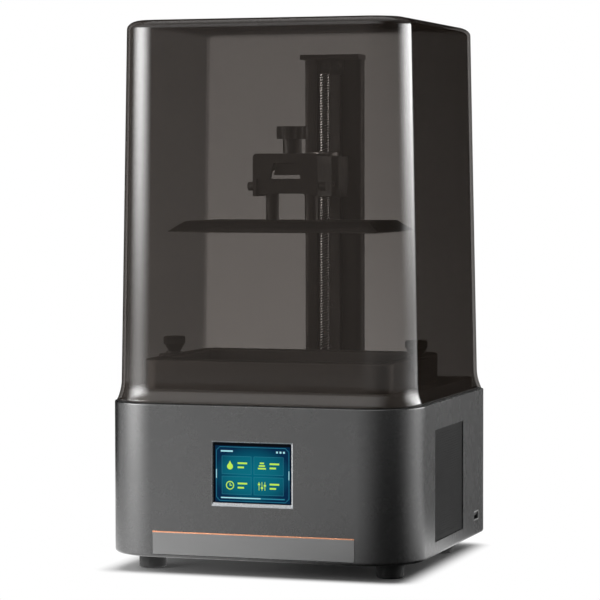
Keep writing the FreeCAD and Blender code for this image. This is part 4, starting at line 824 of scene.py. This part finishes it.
def addCamera():
    turn, pitch = math.radians(view["azimuth"]), math.radians(view["pitch"])
    back = Vector((math.sin(turn) * math.cos(pitch), -math.cos(turn) * math.cos(pitch), math.sin(pitch)))
    aim = Vector((math.cos(turn), math.sin(turn), 0)) * view["aimShift"] + up * view["aimHeight"]
    lens = bpy.data.cameras.new("camera")
    lens.lens = view["lens"]
    lens.sensor_width = view["sensor"]
    camera = bpy.data.objects.new("camera", lens)
    camera.location = aim + back * view["distance"]
    level = back.to_track_quat("Z", "Y").to_matrix()
    camera.rotation_euler = (level @ Matrix.Rotation(math.radians(view["roll"]), 3, "Z")).to_euler()
    scene.collection.objects.link(camera)
    scene.camera = camera


addCamera()

# soft boxes around the object: azimuth from the front towards the right, in degrees; sizes in metres
lamps = {
    "leftBox": dict(azimuth=-50, distance=1.6, height=0.75, width=0.9, tall=1.1, glow=3.4),
    "rightBox": dict(azimuth=120, distance=1.6, height=0.75, width=0.5, tall=1.0, glow=0.8),
    "topBox": dict(azimuth=-20, distance=0.4, height=2.0, width=1.4, tall=1.4, glow=1.6),
}
lampAim, wattsPerGlow = 0.25, 4                        # the aim's height, and watts for each square metre

# what the gloss mirrors: a pale floor and a round wall with a tall left box, a rear right box, and dark between.
# Four azimuths are where a part starts, is full, begins to fall and ends, and two numbers are a soft step's ends
mirrored = {
    "radius": 1.7, "floor": 0.3 * mm, "top": 2.6, "steps": 96, "floorTone": 0.98, "wallTone": 0.26, "dark": 0.01,
    "wallFoot": (0.5 * mm, 12 * mm), "boxFoot": (4 * mm, 40 * mm), "boxRise": (0.10, 0.52), "boxTop": (0.98, 0.62),
    "wallFade": (0.5 * mm, 0.13), "high": (0.5, 0.8), "highFront": (-105, -60, 15, 60), "highTone": 1.7,
    "low": (0.34, 0.10), "lowFront": (-18, 10, 80, 112), "lowTone": 0.5,
    "left": (-92, -56, -56, -23), "leftMiddle": 4.8, "leftHigh": 15.0,
    "right": (86, 122, 142, 159), "rightMiddle": 1.7, "rightHigh": 9.6,
    "leftFloor": (-100, -60, -60, -14), "leftLow": 0.75, "rightFloor": (84, 116, 122, 148), "rightLow": 0.2,
    "front": (-28, 42, 62, 112), "rear": (146, 158), "rearFloor": (116, 142), "rearLow": 0.8,
    "leftRear": (-95, -116), "behind": (158, 172), "near": (0.8, 0.45), "nearShare": 0.75,
}
# the floor is white from the edge of the footprint, and keeps the shadow inside that
room = {"ambient": 0.2, "floor": 0.93, "floorSize": 9.0, "footprint": (0.102, 0.099),
        "footprintMiddle": (-0.004, 0.011), "shadowFrom": 0.002, "shadowTo": 0.024}


def around(azimuth, distance, height):
    turn = math.radians(azimuth)
    return Vector((math.sin(turn) * distance, -math.cos(turn) * distance, height))


def softBox(name, azimuth, distance, height, width, tall, glow):
    lamp = bpy.data.lights.new(name, "AREA")
    lamp.shape = "RECTANGLE"
    lamp.size = width
    lamp.size_y = tall
    lamp.energy = glow * wattsPerGlow * width * tall
    holder = bpy.data.objects.new(name, lamp)
    holder.location = around(azimuth, distance, height)
    aim = up * min(height, lampAim)
    holder.rotation_euler = (holder.location - aim).to_track_quat("Z", "Y").to_euler()
    holder.visible_camera = False
    holder.visible_glossy = False                      # the studio wall stands for it there
    scene.collection.objects.link(holder)


def mirrorGlow(finish):                                # brightness by azimuth and height
    east, north, height = [finish.objectAxis(axis) for axis in "XYZ"]
    azimuth = east.sum("ARCTAN2", east, 0 - north) * math.degrees(1)

    def hump(start, full, fall, end):
        return finish.rise(azimuth, start, full) * finish.rise(azimuth, end, fall)

    wall, middle, high = [finish.rise(height, *mirrored[key]) for key in ("wallFoot", "boxFoot", "boxRise")]
    boxes = [hump(*mirrored[side + "Floor"]) * (1 - wall) * mirrored[side + "Low"]
             + hump(*mirrored[side]) * (middle * mirrored[side + "Middle"] + high * mirrored[side + "High"])
             * finish.rise(height, *mirrored["boxTop"])
             for side in ("left", "right")]
    tone = mirrored["wallTone"] - mirrored["floorTone"]
    plain = mirrored["floorTone"] + tone * finish.rise(height, *mirrored["wallFade"])
    leftRear = finish.rise(azimuth, *mirrored["leftRear"])
    near = finish.rise((east ** 2 + north ** 2) ** 0.5, *mirrored["near"]) * mirrored["nearShare"]
    rear = (finish.rise(azimuth, *mirrored["rear"]) * wall | leftRear
            | finish.rise(azimuth, *mirrored["rearFloor"]) * (1 - wall) * mirrored["rearLow"])
    rear = rear * (1 - near * (leftRear | finish.rise(azimuth, *mirrored["behind"])))
    shaded = (plain + (mirrored["dark"] - plain) * hump(*mirrored["front"])) * (1 - rear)
    pale = finish.rise(height, *mirrored["high"]) * hump(*mirrored["highFront"])
    low = hump(*mirrored["lowFront"]) * middle * finish.rise(height, *mirrored["low"]) * mirrored["lowTone"]
    return shaded + (mirrored["highTone"] - shaded) * pale + boxes[0] + boxes[1] + low


def stagePiece(bm, name, material):                    # part of the studio, not of the printer
    mesh = bpy.data.meshes.new(name)
    bm.to_mesh(mesh)
    bm.free()
    mesh.materials.append(material)
    piece = bpy.data.objects.new(name, mesh)
    scene.collection.objects.link(piece)
    return piece


def mirroredStudio():                                  # only shows in reflections
    bm = bmesh.new()
    floor, radius = mirrored["floor"], mirrored["radius"]
    turned(bm, [(0, floor), (radius, floor), (radius, mirrored["top"])], Vector(), mirrored["steps"])
    material, finish = newFinish("studioGlow")
    finish.surface(finish.add("ShaderNodeEmission", {}, {"Color": mirrorGlow(finish)}))
    material.cycles.emission_sampling = "NONE"
    wall = stagePiece(bm, "mirroredStudio", material)
    for ray in ("camera", "diffuse", "shadow", "transmission"):
        setattr(wall, "visible_" + ray, False)


def seenRays(finish):                                  # rays that show the background as it is
    path = finish.add("ShaderNodeLightPath", output="Is Camera Ray")
    for ray in ("Is Glossy Ray", "Is Transmission Ray"):
        path = path | finish.add("ShaderNodeLightPath", output=ray)
    return path


def addRoom():
    world = bpy.data.worlds.new("studio")
    world.use_nodes = True
    scene.world = world
    finish = Finish(world.node_tree)
    seen = seenRays(finish)
    finish.feed(world.node_tree.nodes["Background"].inputs["Color"], grey(1.0))
    finish.feed(world.node_tree.nodes["Background"].inputs["Strength"], seen + (1 - seen) * room["ambient"])

    bm = bmesh.new()
    bmesh.ops.create_grid(bm, x_segments=1, y_segments=1, size=room["floorSize"])
    material, finish = newFinish("floorPaper")
    aside, ahead = [(abs(finish.objectAxis(axis) - middle) - half) | 0.0
                    for axis, middle, half in zip("XY", room["footprintMiddle"], room["footprint"])]
    far = finish.rise((aside ** 2 + ahead ** 2) ** 0.5, room["shadowFrom"], room["shadowTo"])
    paper = finish.add("ShaderNodeBsdfDiffuse", {}, {"Color": grey(room["floor"])})
    white = finish.add("ShaderNodeEmission", {}, {"Color": grey(1.0)})
    finish.surface(finish.add("ShaderNodeMixShader", {}, {0: far * seenRays(finish), 1: paper, 2: white}))
    stagePiece(bm, "floor", material)


addRoom()
for lampName, lampSet in lamps.items():
    softBox(lampName, **lampSet)
mirroredStudio()
scene.view_settings.view_transform = "Standard"
print("camera and studio ready")
